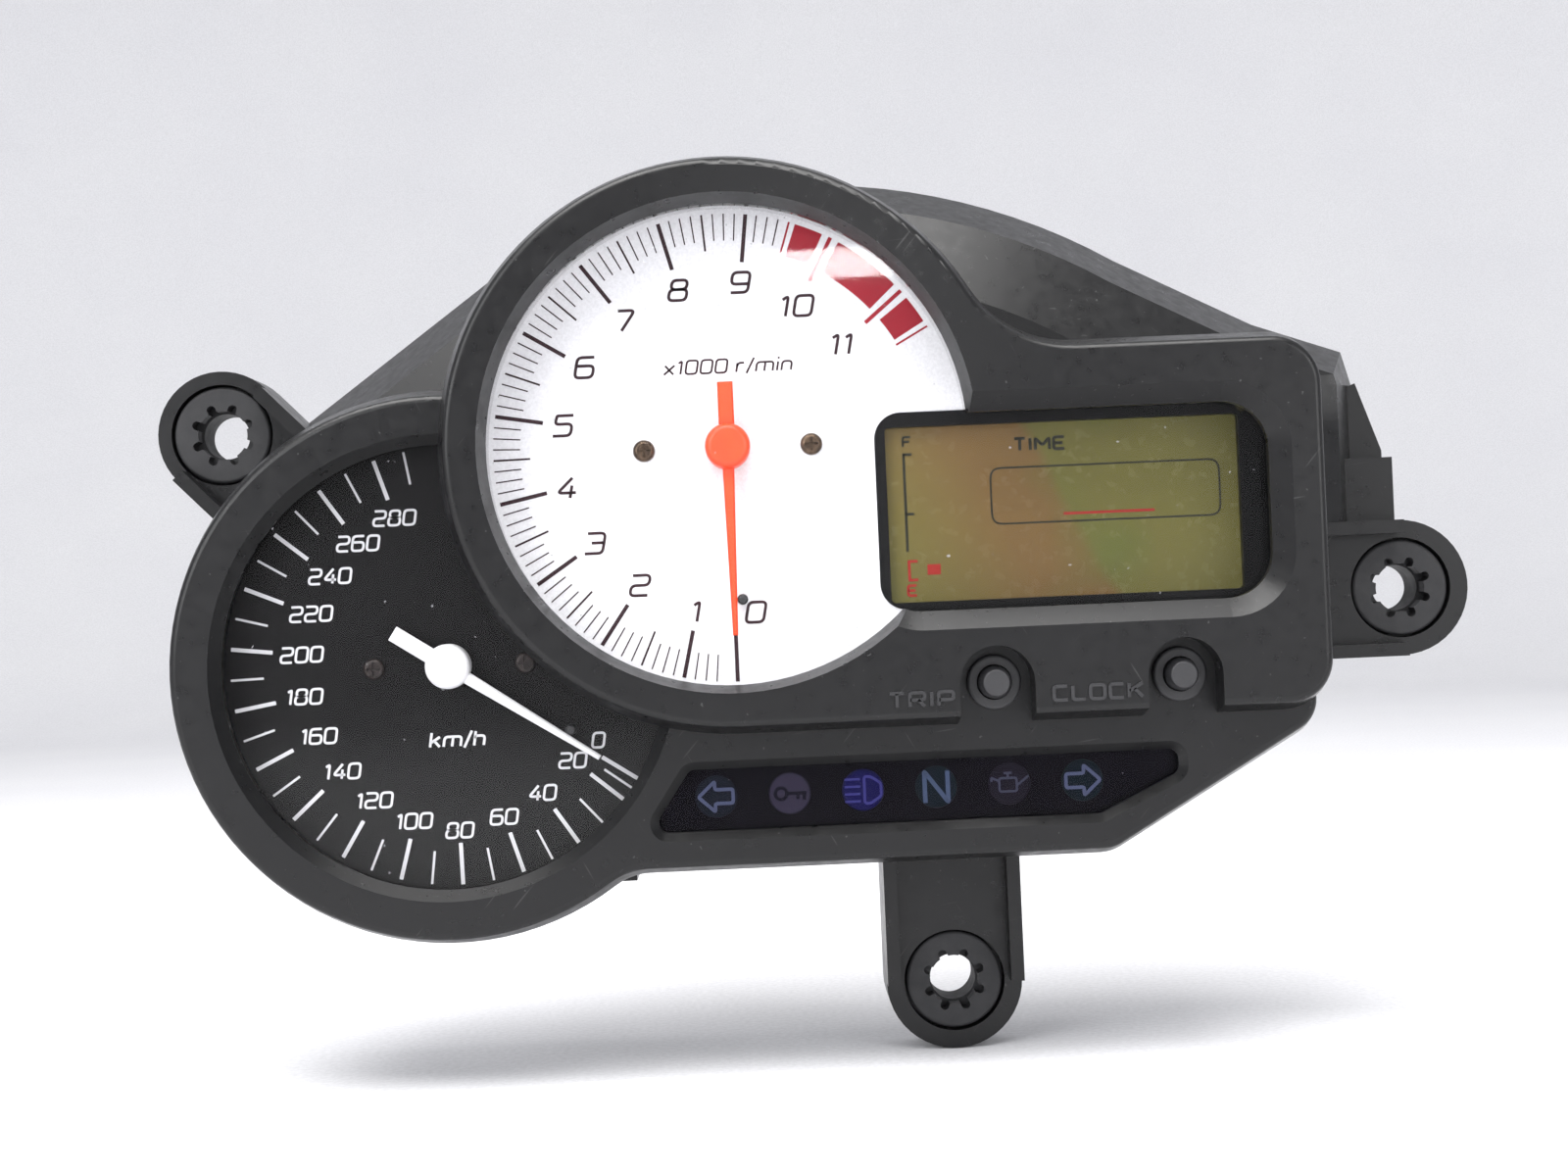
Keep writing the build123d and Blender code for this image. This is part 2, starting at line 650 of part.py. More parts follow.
with BuildPart() as case_screws:
    with BuildSketch(level(CASE_SEAT)):
        discs(CASE_SCREWS, CASE_HEAD_R)
    extrude(amount=-2.4)
    fillet(case_screws.faces().sort_by(Axis.Y).group_by(Axis.Y)[-1].edges(), 0.7)
    with BuildSketch(level(CASE_SEAT - 2.4)):
        for x, z in CASE_SCREWS:
            with Locations(at(x, z)):
                Rectangle(3.4, 0.9)
                Rectangle(0.9, 3.4)
    extrude(amount=1.2, mode=Mode.SUBTRACT)
    with BuildSketch(level(CASE_SEAT)):
        discs(CASE_SCREWS, CASE_SCREW_R)
    extrude(amount=PARTING + 12.0 - CASE_SEAT)
finish(case_screws, "case_screws")

# ======================================================================= chassis and board
with BuildPart() as chassis:
    with BuildSketch(level(CHASSIS_TOP - CHASSIS_THICK)):
        upper_outline(CASE_GROW - WALL - CHASSIS_GAP)
        lower_outline(CASE_GROW - WALL - CHASSIS_GAP)
        discs([(0, 0)], TACHO_WELL_R, Mode.SUBTRACT)
        discs([SPEEDO], SPEEDO_WELL_R, Mode.SUBTRACT)
        discs(CASE_SCREWS, COLUMN_R + 0.6, Mode.SUBTRACT)
        discs([(x, BUTTON_Z) for x in BUTTONS.values()], ROD_R + 1.0, Mode.SUBTRACT)
        bar(GLASS_LEFT + 2.0, GLASS_RIGHT - 1.0, GLASS_BOTTOM - 1.2, GLASS_TOP + 2.6, Mode.SUBTRACT)
        bar(LAMP_BOX_LEFT - 0.5, LAMP_BOX_RIGHT + 0.5, LAMP_BOX_BOTTOM - 0.5, LAMP_BOX_TOP + 0.5,
            Mode.SUBTRACT)
    extrude(amount=CHASSIS_THICK)
    # walls that carry the dials
    with BuildSketch(level(CHASSIS_TOP)):
        discs([(0, 0)], TACHO_OPEN_R - 3.0)
        discs([(0, 0)], TACHO_OPEN_R - 5.0, Mode.SUBTRACT)
        bar(RIM_LEFT - FRAME_SKIRT - 0.5, RING_R, RIM_BOTTOM - FRAME_SKIRT - 0.5,
            RIM_TOP + FRAME_SKIRT + 0.5, Mode.SUBTRACT)
    extrude(amount=TACHO_DIAL - DIAL_THICK - CHASSIS_TOP)
    with BuildSketch(level(CHASSIS_TOP)):
        discs([SPEEDO], SPEEDO_OPEN_R - 3.0)
        discs([SPEEDO], SPEEDO_OPEN_R - 5.0, Mode.SUBTRACT)
        upper_outline(DRAFT + 0.6, Mode.SUBTRACT)
    extrude(amount=SPEEDO_DIAL - DIAL_THICK - CHASSIS_TOP)
    # posts down to the board
    with BuildSketch(level(BOARD)):
        discs(BOARD_SCREWS, BOARD_POST_R)
    extrude(amount=CHASSIS_TOP - CHASSIS_THICK - BOARD)
    with BuildSketch(level(BOARD)):
        discs(BOARD_SCREWS, 1.35)
    extrude(amount=9.0, mode=Mode.SUBTRACT)
finish(chassis, "chassis")
print("chassis solids", len(chassis.part.solids()))

with BuildPart() as circuit_board:
    with BuildSketch(level(BOARD - BOARD_THICK)):
        upper_outline(-BOARD_INSET)
        lower_outline(-BOARD_INSET)
        discs(CASE_SCREWS, COLUMN_R + 0.6, Mode.SUBTRACT)
        discs(BOARD_SCREWS, 1.5, Mode.SUBTRACT)
        for z in DISPLAY_PIN_ROWS:
            for i in range(DISPLAY_PINS):
                bar(*pin_place(i, z, 0.35), Mode.SUBTRACT)
    extrude(amount=BOARD_THICK)
finish(circuit_board, "circuit_board")

with BuildPart() as board_screws:
    with BuildSketch(level(BOARD - BOARD_THICK)):
        discs(BOARD_SCREWS, 2.6)
    extrude(amount=-1.8)
    with BuildSketch(level(BOARD - BOARD_THICK)):
        discs(BOARD_SCREWS, 1.25)
    extrude(amount=BOARD_THICK + 7.0)
finish(board_screws, "board_screws")

# ======================================================================= the two gauges


def along(gauge, radius, side=0.0):
    """A place on a gauge's needle: out from its axis, and sideways towards higher readings."""
    x, z = polar(gauge["axis"], radius, gauge["zero"])
    a = radians(gauge["zero"])
    return (x - side * cos(a), z + side * sin(a))


def dial_plate(name, gauge):
    """The printed plate, cut round the display frame or the tachometer's wall."""
    x, z = gauge["axis"]
    with BuildPart() as plate:
        with BuildSketch(level(gauge["dial"] - DIAL_THICK)):
            discs([(x, z)], gauge["edge"])
            discs([(x, z)], HUB_HOLE_R, Mode.SUBTRACT)
            discs([(x - gauge["screw"], z), (x + gauge["screw"], z)], 1.5, Mode.SUBTRACT)
            discs([gauge["stop"]], STOP_PIN_R + 0.1, Mode.SUBTRACT)
            if name == "tacho":
                round_bar(RIM_LEFT - 0.2, 2 * RING_R, RIM_BOTTOM - 0.2, RIM_TOP + 0.2, RIM_CORNER_R,
                          Mode.SUBTRACT)
            else:
                upper_outline(DRAFT + 0.4, Mode.SUBTRACT)
        extrude(amount=DIAL_THICK)
    finish(plate, f"{name}_dial")


def dial_screws(name, gauge):
    x, z = gauge["axis"]
    places = [(x - gauge["screw"], z), (x + gauge["screw"], z)]
    with BuildPart() as pair:
        with BuildSketch(level(gauge["dial"])):
            discs(places, SCREW_HEAD_R)
        extrude(amount=1.5)
        fillet(pair.faces().sort_by(Axis.Y).group_by(Axis.Y)[0].edges(), 1.1)
        with BuildSketch(level(gauge["dial"] + 0.7)):
            for px, pz in places:
                bar(px - 1.5, px + 1.5, pz - 0.25, pz + 0.25)
                bar(px - 0.25, px + 0.25, pz - 1.5, pz + 1.5)
        extrude(amount=1.0, mode=Mode.SUBTRACT)
        with BuildSketch(level(gauge["dial"] - 8.0)):
            discs(places, 1.2)
        extrude(amount=8.0)
    finish(pair, f"{name}_dial_screws")


def stop_pin(name, gauge):
    with BuildPart() as pin:
        with BuildSketch(level(gauge["dial"] - DIAL_THICK)):
            discs([gauge["stop"]], STOP_PIN_R)
        extrude(amount=DIAL_THICK + gauge["lift"] + POINTER_THICK)
        fillet(pin.faces().sort_by(Axis.Y)[0].edges(), 0.5)
    finish(pin, f"{name}_stop_pin")


def pointer(name, gauge):
    """Pointer with tail and domed hub, pressed on the shaft."""
    bottom = gauge["dial"] + gauge["lift"]
    reach = gauge["reach"]
    with BuildPart() as hand:
        with BuildSketch(level(bottom)):
            with BuildLine() as edge:
                Polyline(
                    at(*along(gauge, reach, 0.55)), at(*along(gauge, 3.0, 1.3)),
                    at(*along(gauge, 3.0, -1.3)), at(*along(gauge, reach, -0.55)), close=True,
                )
            make_face(edge.line)
            with BuildLine() as edge:
                Polyline(
                    at(*along(gauge, 3.0, 1.7)), at(*along(gauge, -TAIL, 1.7)),
                    at(*along(gauge, -TAIL, -1.7)), at(*along(gauge, 3.0, -1.7)), close=True,
                )
            make_face(edge.line)
        extrude(amount=POINTER_THICK)
        chamfer(hand.faces().sort_by(Axis.Y)[0].edges(), 0.4)
        with BuildSketch(level(gauge["dial"] + 1.0)):
            discs([gauge["axis"]], HUB_R)
        extrude(amount=gauge["hub"] - 1.0)
        fillet(hand.faces().sort_by(Axis.Y)[0].edges(), 1.6)
        with BuildSketch(level(gauge["dial"] + 1.0)):
            discs([gauge["axis"]], SHAFT_R + 0.02)
        extrude(amount=gauge["hub"] - 3.0, mode=Mode.SUBTRACT)
    finish(hand, f"{name}_pointer")


def movement(name, gauge):
    """Air-core movement: frame, two crossed coils on a split bobbin, magnet, shaft and can."""
    axis = gauge["axis"]
    x, z = axis
    seat = gauge["dial"] - DIAL_THICK
    places = [(x - gauge["screw"], z), (x + gauge["screw"], z)]
    body_low = BOARD + 7.0
    body_mid = body_low + BOBBIN_TALL / 2
    body_top = body_low + BOBBIN_TALL
    lid = BOARD + CAN_TALL

    with BuildPart() as frame:
        with BuildSketch(level(BOARD)):
            discs([axis], CAN_R)
            bar(x - gauge["screw"], x + gauge["screw"], z - POST_R, z + POST_R)
            discs(places, POST_R)
        extrude(amount=FRAME_BASE)
        with BuildSketch(level(BOARD)):
            discs(places, POST_R)
        extrude(amount=seat - BOARD)
        with BuildSketch(level(seat - 9.0)):
            discs(places, 1.3)
        extrude(amount=9.0, mode=Mode.SUBTRACT)
    finish(frame, f"{name}_movement_frame")

    with BuildPart() as halves:
        with BuildSketch(level(body_low)):
            discs([axis], BOBBIN_R)
        extrude(amount=BOBBIN_TALL / 2)
        with BuildSketch(level(BOARD + FRAME_BASE)):
            discs([axis], NECK_TUBE_R)
        extrude(amount=body_low - BOARD - FRAME_BASE)
        with BuildSketch(level(body_mid)):
            discs([axis], BOBBIN_R)
        extrude(amount=BOBBIN_TALL / 2)
        with BuildSketch(level(body_top)):
            discs([axis], NECK_TUBE_R)
        extrude(amount=lid - body_top)
        with BuildSketch(level(body_mid - MAGNET_TALL / 2 - 0.5)):
            discs([axis], MAGNET_R + 0.4)
        extrude(amount=MAGNET_TALL + 1.0, mode=Mode.SUBTRACT)
        with BuildSketch(level(BOARD + FRAME_BASE + 0.8)):
            discs([axis], SHAFT_R + SHAFT_GAP)
        extrude(amount=lid - BOARD, mode=Mode.SUBTRACT)
    finish(halves, f"{name}_bobbin")

    # each coil is a loop round the bobbin, parted at the necks; the second crosses outside the first
    for turn, coil in enumerate(("sine_coil", "cosine_coil")):
        inner = BOBBIN_R + COIL_GAP + turn * (COIL_T + COIL_GAP)
        rise = COIL_GAP + turn * (COIL_T + COIL_GAP)
        outer = inner + COIL_T
        half_w = COIL_W / 2
        with BuildPart() as loop:
            for reach, spare, way in ((outer, rise + COIL_T, Mode.ADD), (inner, rise, Mode.SUBTRACT)):
                with BuildSketch(level(body_low - spare)):
                    if turn:
                        bar(x - half_w, x + half_w, z - reach, z + reach)
                    else:
                        bar(x - reach, x + reach, z - half_w, z + half_w)
                extrude(amount=BOBBIN_TALL + 2 * spare, mode=way)
            with BuildSketch(level(BOARD)):
                discs([axis], NECK_TUBE_R + COIL_GAP)
            extrude(amount=CAN_TALL, mode=Mode.SUBTRACT)
        finish(loop, f"{name}_{coil}")

    with BuildPart() as can:
        with BuildSketch(level(BOARD + FRAME_BASE)):
            discs([axis], CAN_R)
        extrude(amount=CAN_TALL - FRAME_BASE)
        with BuildSketch(level(BOARD + FRAME_BASE)):
            discs([axis], CAN_R - CAN_T)
        extrude(amount=CAN_TALL - FRAME_BASE - CAN_T, mode=Mode.SUBTRACT)
        with BuildSketch(level(BOARD)):
            discs([axis], NECK_TUBE_R + COIL_GAP)
        extrude(amount=FRONT, mode=Mode.SUBTRACT)
        with BuildSketch(level(lid)):
            discs([(x + HAIRSPRING_R, z)], 0.6)
        extrude(amount=SPRING_LIFT + SPRING_W)
    finish(can, f"{name}_shield_can")

    # flat spiral, made of half turns about two centres
    pitch = (HAIRSPRING_R - 0.6 - COLLAR_R - 0.4) / (2 * SPRING_TURNS)
    with BuildPart() as spring:
        with BuildSketch(level(lid + SPRING_LIFT)):
            with BuildLine() as spiral:
                radius = COLLAR_R + 0.4
                centre = x
                for half in range(2 * SPRING_TURNS):
                    CenterArc(at(centre, z), radius, 180 * (half % 2), 180)
                    radius += pitch
                    centre += pitch * (1 if half % 2 else -1)
            trace(spiral.line, line_width=SPRING_T)
        extrude(amount=SPRING_W)
    finish(spring, f"{name}_hairspring")

    with BuildPart() as magnet:
        with BuildSketch(level(body_mid - MAGNET_TALL / 2)):
            discs([axis], MAGNET_R)
            discs([axis], SHAFT_R + 0.02, Mode.SUBTRACT)
        extrude(amount=MAGNET_TALL)
    finish(magnet, f"{name}_magnet")

    with BuildPart() as shaft:
        with BuildSketch(level(BOARD + FRAME_BASE + 1.0)):
            discs([axis], SHAFT_R)
        extrude(amount=gauge["dial"] + gauge["hub"] - 2.2 - BOARD - FRAME_BASE - 1.0)
        with BuildSketch(level(lid + 0.1)):
            discs([axis], COLLAR_R)
        extrude(amount=SPRING_LIFT + SPRING_W - 0.1)
    finish(shaft, f"{name}_shaft")


def stop_place(gauge, radius):
    """Where the pin stands so that the pointer rests against it."""
    half = 1.3 - 0.75 * (radius - 3.0) / (gauge["reach"] - 3.0)
    return along(gauge, radius, -(half + STOP_PIN_R + STOP_GAP))


GAUGES = {
    "tacho": dict(
        axis=(0.0, 0.0), dial=TACHO_DIAL, edge=TACHO_OPEN_R + 1.5, screw=TACHO_SCREW, zero=0.0,
        reach=41.0, lift=4.2, hub=7.8,
    ),
    "speedo": dict(
        axis=SPEEDO, dial=SPEEDO_DIAL, edge=SPEEDO_OPEN_R + 1.5, screw=SPEEDO_SCREW,
        zero=SPEEDO_ZERO, reach=38.6, lift=3.0, hub=5.8,
    ),
}
GAUGES["tacho"]["stop"] = stop_place(GAUGES["tacho"], TACHO_STOP_R)
GAUGES["speedo"]["stop"] = stop_place(GAUGES["speedo"], SPEEDO_STOP_R)
for name, gauge in GAUGES.items():
    dial_plate(name, gauge)
    dial_screws(name, gauge)
    stop_pin(name, gauge)
    pointer(name, gauge)
    movement(name, gauge)

# ======================================================================= display
DISPLAY_LIP = TACHO_DIAL - DIAL_THICK - 0.8
with BuildPart() as display_frame:
    left, right = RIM_LEFT - FRAME_SKIRT, RIM_RIGHT + 0.5
    bottom, top = RIM_BOTTOM - FRAME_SKIRT, RIM_TOP + FRAME_SKIRT
    with BuildSketch(level(CHASSIS_TOP)):
        bar(left, right, bottom, top)
    extrude(amount=TACHO_DIAL - DIAL_THICK - CHASSIS_TOP)
    with BuildSketch(level(CHASSIS_TOP)):
        round_bar(RIM_LEFT, RIM_RIGHT, RIM_BOTTOM, RIM_TOP, RIM_CORNER_R)
    extrude(amount=TACHO_DIAL + RIM_RISE - CHASSIS_TOP)
    with BuildSketch(level(CHASSIS_TOP)):
        bar(left + 1.5, right - 1.5, bottom + 1.5, top - 1.5)
    extrude(amount=DISPLAY_LIP - CHASSIS_TOP, mode=Mode.SUBTRACT)
    with BuildSketch(level(CHASSIS_TOP)):
        round_bar(GLASS_LEFT, GLASS_RIGHT, GLASS_BOTTOM, GLASS_TOP, 1.0)
    extrude(amount=FRONT, mode=Mode.SUBTRACT)
finish(display_frame, "display_frame")

with BuildPart() as display_glass:
    with BuildSketch(level(DISPLAY_LIP - GLASS_THICK)):
        bar(left + 1.8, right - 1.8, bottom + 1.8, top - 1.8)
    extrude(amount=GLASS_THICK)
finish(display_glass, "display_glass")

with BuildPart() as display_diffuser:
    with BuildSketch(level(CHASSIS_TOP)):
        bar(GLASS_LEFT - 1.0, GLASS_RIGHT + 2.0, GLASS_BOTTOM + 1.0, GLASS_TOP - 1.0)
    extrude(amount=DISPLAY_LIP - GLASS_THICK - CHASSIS_TOP)
    with BuildSketch(level(CHASSIS_TOP)):
        bar(GLASS_LEFT + 1.0, GLASS_RIGHT, GLASS_BOTTOM + 3.0, GLASS_TOP - 3.0)
    extrude(amount=DISPLAY_LIP - GLASS_THICK - CHASSIS_TOP - 2.5, mode=Mode.SUBTRACT)
finish(display_diffuser, "display_diffuser")

with BuildPart() as display_pins:
    with BuildSketch(level(BOARD - BOARD_THICK - 1.2)):
        for z in DISPLAY_PIN_ROWS:
            for i in range(DISPLAY_PINS):
                bar(*pin_place(i, z, 0.25))
    extrude(amount=DISPLAY_LIP - GLASS_THICK - BOARD + BOARD_THICK + 1.2)
finish(display_pins, "display_pins")

# ======================================================================= push buttons
with BuildPart() as button_boots:
    places = [(x, BUTTON_Z) for x in BUTTONS.values()]
    with BuildSketch(level(LOWER)):
        discs(places, BOOT_R)
    extrude(amount=BOOT_RISE)
    fillet(button_boots.faces().group_by(Axis.Y)[0].edges(), 0.7)
    with BuildSketch(level(LOWER - WALL)):
        discs(places, BOOT_R - 1.1)
    extrude(amount=WALL)
    with BuildSketch(level(LOWER - WALL - 1.5)):
        discs(places, BOOT_R)
    extrude(amount=1.5)
    with BuildSketch(level(LOWER - WALL - 1.5)):
        discs(places, KNOB_R + RUN_GAP)
    extrude(amount=FRONT, mode=Mode.SUBTRACT)
finish(button_boots, "button_boots")

KNOB_FOOT = LOWER - WALL - 1.5 - RUN_GAP
SWITCH_TOP = BOARD + 6.0
for name, x in BUTTONS.items():
    with BuildPart() as button:
        with BuildSketch(level(KNOB_FOOT - 1.5)):
            discs([(x, BUTTON_Z)], KNOB_R + 1.2)
        extrude(amount=1.5)
        with BuildSketch(level(KNOB_FOOT)):
            discs([(x, BUTTON_Z)], KNOB_R)
        extrude(amount=LOWER + 3.8 - KNOB_FOOT)
        with BuildSketch(level(LOWER + 3.8)):
            discs([(x, BUTTON_Z)], KNOB_R)
        extrude(amount=KNOB_RISE - 3.8, taper=degrees(atan((KNOB_R - KNOB_TOP_R) / (KNOB_RISE - 3.8))))
        fillet(button.faces().sort_by(Axis.Y)[0].edges(), 0.5)
        with BuildSketch(level(SWITCH_TOP + 2 * TRAVEL)):
            discs([(x, BUTTON_Z)], ROD_R)
        extrude(amount=KNOB_FOOT - SWITCH_TOP - 2 * TRAVEL)
    finish(button, f"{name}_button")
    with BuildPart() as plunger:
        with BuildSketch(level(SWITCH_TOP - 1.0)):
            discs([(x, BUTTON_Z)], ROD_R - 0.4)
        extrude(amount=1.0 + 2 * TRAVEL)
    finish(plunger, f"{name}_switch_plunger")

with BuildPart() as push_switches:
    with BuildSketch(level(BOARD)):
        for x in BUTTONS.values():
            bar(x - 4.0, x + 4.0, BUTTON_Z - 4.0, BUTTON_Z + 4.0)
    extrude(amount=SWITCH_TOP - BOARD)
    with BuildSketch(level(SWITCH_TOP)):
        discs([(x, BUTTON_Z) for x in BUTTONS.values()], ROD_R - 0.4 + RUN_GAP)
    extrude(amount=-1.3 - TRAVEL, mode=Mode.SUBTRACT)
finish(push_switches, "push_switches")

# ======================================================================= lamp strip
LAMP_BOX_FRONT = LAMP_LENS_BACK - 1.5
with BuildPart() as lamp_box:
    with BuildSketch(level(BOARD)):
        bar(LAMP_BOX_LEFT, LAMP_BOX_RIGHT, LAMP_BOX_BOTTOM, LAMP_BOX_TOP)
        for x in LAMP_X:
            half = LAMP_CELL / 2
            bar(x - half, x + half, LAMP_Z - half, LAMP_Z + half, Mode.SUBTRACT)
    extrude(amount=LAMP_BOX_FRONT - BOARD)
finish(lamp_box, "lamp_box")

with BuildPart() as lamp_filters:
    with BuildSketch(level(LAMP_BOX_FRONT)):
        for x in LAMP_X:
            half = LAMP_CELL / 2 + 0.9
            bar(x - half, x + half, LAMP_Z - half, LAMP_Z + half)
    extrude(amount=0.6)
finish(lamp_filters, "lamp_filters")

with BuildPart() as lamp_mask:
    with BuildSketch(level(LAMP_BOX_FRONT + 0.6)):
        lamp_outline(LIP - 0.6)
        discs([(x, LAMP_Z) for x in LAMP_X], 4.6, Mode.SUBTRACT)
    extrude(amount=0.6)
finish(lamp_mask, "lamp_mask")

with BuildPart() as lamp_leds:
    with BuildSketch(level(BOARD)):
        for x in LAMP_X:
            bar(x - 1.6, x + 1.6, LAMP_Z - 1.4, LAMP_Z + 1.4)
    extrude(amount=1.9)
finish(lamp_leds, "lamp_leds")

# ======================================================================= parts on the board
with BuildPart() as backlight_leds:
    with BuildSketch(level(BOARD)):
        for gauge, ring, count in (("tacho", 24.5, 8), ("speedo", 22.5, 8)):
            for i in range(count):
                px, pz = polar(GAUGES[gauge]["axis"], ring, 360 / count * (i + 0.5))
                bar(px - 1.6, px + 1.6, pz - 1.4, pz + 1.4)
        for i in range(5):
            px = GLASS_LEFT + 9.0 + i * 15.0
            for pz in (-8.0, -25.0):
                bar(px - 1.6, px + 1.6, pz - 1.4, pz + 1.4)
    extrude(amount=1.9)
finish(backlight_leds, "backlight_leds")

REAR = BOARD - BOARD_THICK
with BuildPart() as processor:
    with BuildSketch(level(REAR)):
        bar(12.0, 26.0, -24.0, -10.0)
    extrude(amount=-2.0)
    chamfer(processor.faces().sort_by(Axis.Y)[-1].edges(), 0.4)
finish(processor, "processor")

with BuildPart() as driver_chips:
    with BuildSketch(level(REAR)):
        for x, z in ((-24.0, 20.0), (-40.0, -66.0), (14.0, 10.0), (92.0, -44.0)):
            bar(x - 5.2, x + 5.2, z - 3.8, z + 3.8)
    extrude(amount=-2.3)
finish(driver_chips, "driver_chips")

with BuildPart() as capacitors:
    with BuildSketch(level(REAR)):
        discs([(24.0, 42.0), (8.0, 45.0), (-84.0, -66.0), (40.0, -54.0)], 5.0)
    extrude(amount=-11.0)
    fillet(capacitors.faces().group_by(Axis.Y)[-1].edges(), 0.6)
finish(capacitors, "capacitors")


def connector_pins_plan(half):
    """Two rows of ten contacts."""
    cx, cz = CONNECTOR
    for row in (-3.0, 3.0):
        for i in range(10):
            px = cx + (i - 4.5) * 4.0
            bar(px - half, px + half, cz + row - half, cz + row + half)


with BuildPart() as connector_housing:
    cx, cz = CONNECTOR
    wide, tall = CONNECTOR_SIZE
    with BuildSketch(level(REAR)):
        bar(cx - wide / 2, cx + wide / 2, cz - tall / 2, cz + tall / 2)
    extrude(amount=BACK - CONNECTOR_REACH - REAR)
    with BuildSketch(level(BACK - CONNECTOR_REACH)):
        round_bar(cx - wide / 2 + 1.8, cx + wide / 2 - 1.8, cz - tall / 2 + 1.8, cz + tall / 2 - 1.8, 1.0)
    extrude(amount=CONNECTOR_DEPTH, mode=Mode.SUBTRACT)
    with BuildSketch(level(BACK)) as holes:
        connector_pins_plan(0.55)
    extrude(amount=REAR - BACK, mode=Mode.SUBTRACT)
    with BuildSketch(level(BACK - CONNECTOR_REACH + 1.0)):
        bar(cx - 5.0, cx + 5.0, cz + tall / 2, cz + tall / 2 + 2.4)
    extrude(amount=3.0)
finish(connector_housing, "connector_housing")

with BuildPart() as connector_pins:
    with BuildSketch(level(REAR)):
        connector_pins_plan(0.5)
    extrude(amount=BACK - CONNECTOR_REACH + 3.0 - REAR)
finish(connector_pins, "connector_pins")
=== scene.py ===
"""Motorcycle instrument cluster: materials, printed graphics, lights and camera."""

import math

import bpy
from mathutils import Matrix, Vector


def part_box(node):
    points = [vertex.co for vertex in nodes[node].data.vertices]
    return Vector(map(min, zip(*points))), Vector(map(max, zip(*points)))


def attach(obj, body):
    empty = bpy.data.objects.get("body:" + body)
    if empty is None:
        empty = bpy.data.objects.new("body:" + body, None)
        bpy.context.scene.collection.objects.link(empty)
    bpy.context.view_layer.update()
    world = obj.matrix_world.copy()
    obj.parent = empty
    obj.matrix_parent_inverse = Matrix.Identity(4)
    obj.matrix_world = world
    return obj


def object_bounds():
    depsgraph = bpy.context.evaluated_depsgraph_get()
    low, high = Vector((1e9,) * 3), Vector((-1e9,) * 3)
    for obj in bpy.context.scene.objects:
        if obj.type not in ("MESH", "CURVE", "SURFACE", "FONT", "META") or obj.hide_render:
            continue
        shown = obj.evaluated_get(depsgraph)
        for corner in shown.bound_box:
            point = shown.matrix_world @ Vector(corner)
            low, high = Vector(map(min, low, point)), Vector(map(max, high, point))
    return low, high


MM = 0.001
INK = 0.04                # thickness of printed ink, mm
INK_LIFT = 0.01           # between ink and the face it is printed on, mm
CORNER_STEPS = 4          # straight pieces in a rounded corner
DISC_STEPS = 40           # sides of a printed disc

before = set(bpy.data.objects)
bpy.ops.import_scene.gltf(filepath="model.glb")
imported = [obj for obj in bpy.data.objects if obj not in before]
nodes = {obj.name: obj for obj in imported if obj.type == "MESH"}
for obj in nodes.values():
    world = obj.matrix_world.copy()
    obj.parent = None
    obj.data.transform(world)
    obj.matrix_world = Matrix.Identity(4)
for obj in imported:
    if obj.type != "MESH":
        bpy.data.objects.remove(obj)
cad_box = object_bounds()


def middle(node):
    """The centre of a CAD node's box."""
    low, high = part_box(node)
    return (low + high) / 2


TACHO = middle("tacho_shaft")
SPEEDO = middle("speedo_shaft")
TACHO_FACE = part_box("tacho_dial")[0].y
SPEEDO_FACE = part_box("speedo_dial")[0].y
GLASS_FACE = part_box("display_glass")[0].y
COVER_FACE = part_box("front_cover")[0].y
MASK_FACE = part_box("lamp_mask")[0].y


# ---------------------------------------------------------------- materials
REFLECTION_WAY = (0.87, 0.0, 0.49)       # across the brown band painted on the display as a reflection, square to its edges
REFLECTION_WAVE = 0.012                  # how far its edges wander, in metres, as the next three
REFLECTION_START = 0.042                 # from where it begins to its sharp edge
REFLECTION_FULL = 0.014                  # from where it is full to its sharp edge
REFLECTION_END = 0.0025                  # width of the sharp edge
SCRATCHES = (                      # turn in radians, thickness and length in metres
    (0.7, 0.0008, 0.016),
    (-0.5, 0.0006, 0.012),
    (1.45, 0.0009, 0.02),
)


def srgb(r, g, b):
    """A linear colour from one as a screen shows it, 0 to 255."""
    def channel(c):
        c /= 255
        return c / 12.92 if c < 0.04045 else ((c + 0.055) / 1.055) ** 2.4
    return (channel(r), channel(g), channel(b), 1.0)


def darker(colour, share):
    """A colour at a share of its brightness."""
    return tuple(c * share for c in colour[:3]) + (1.0,)


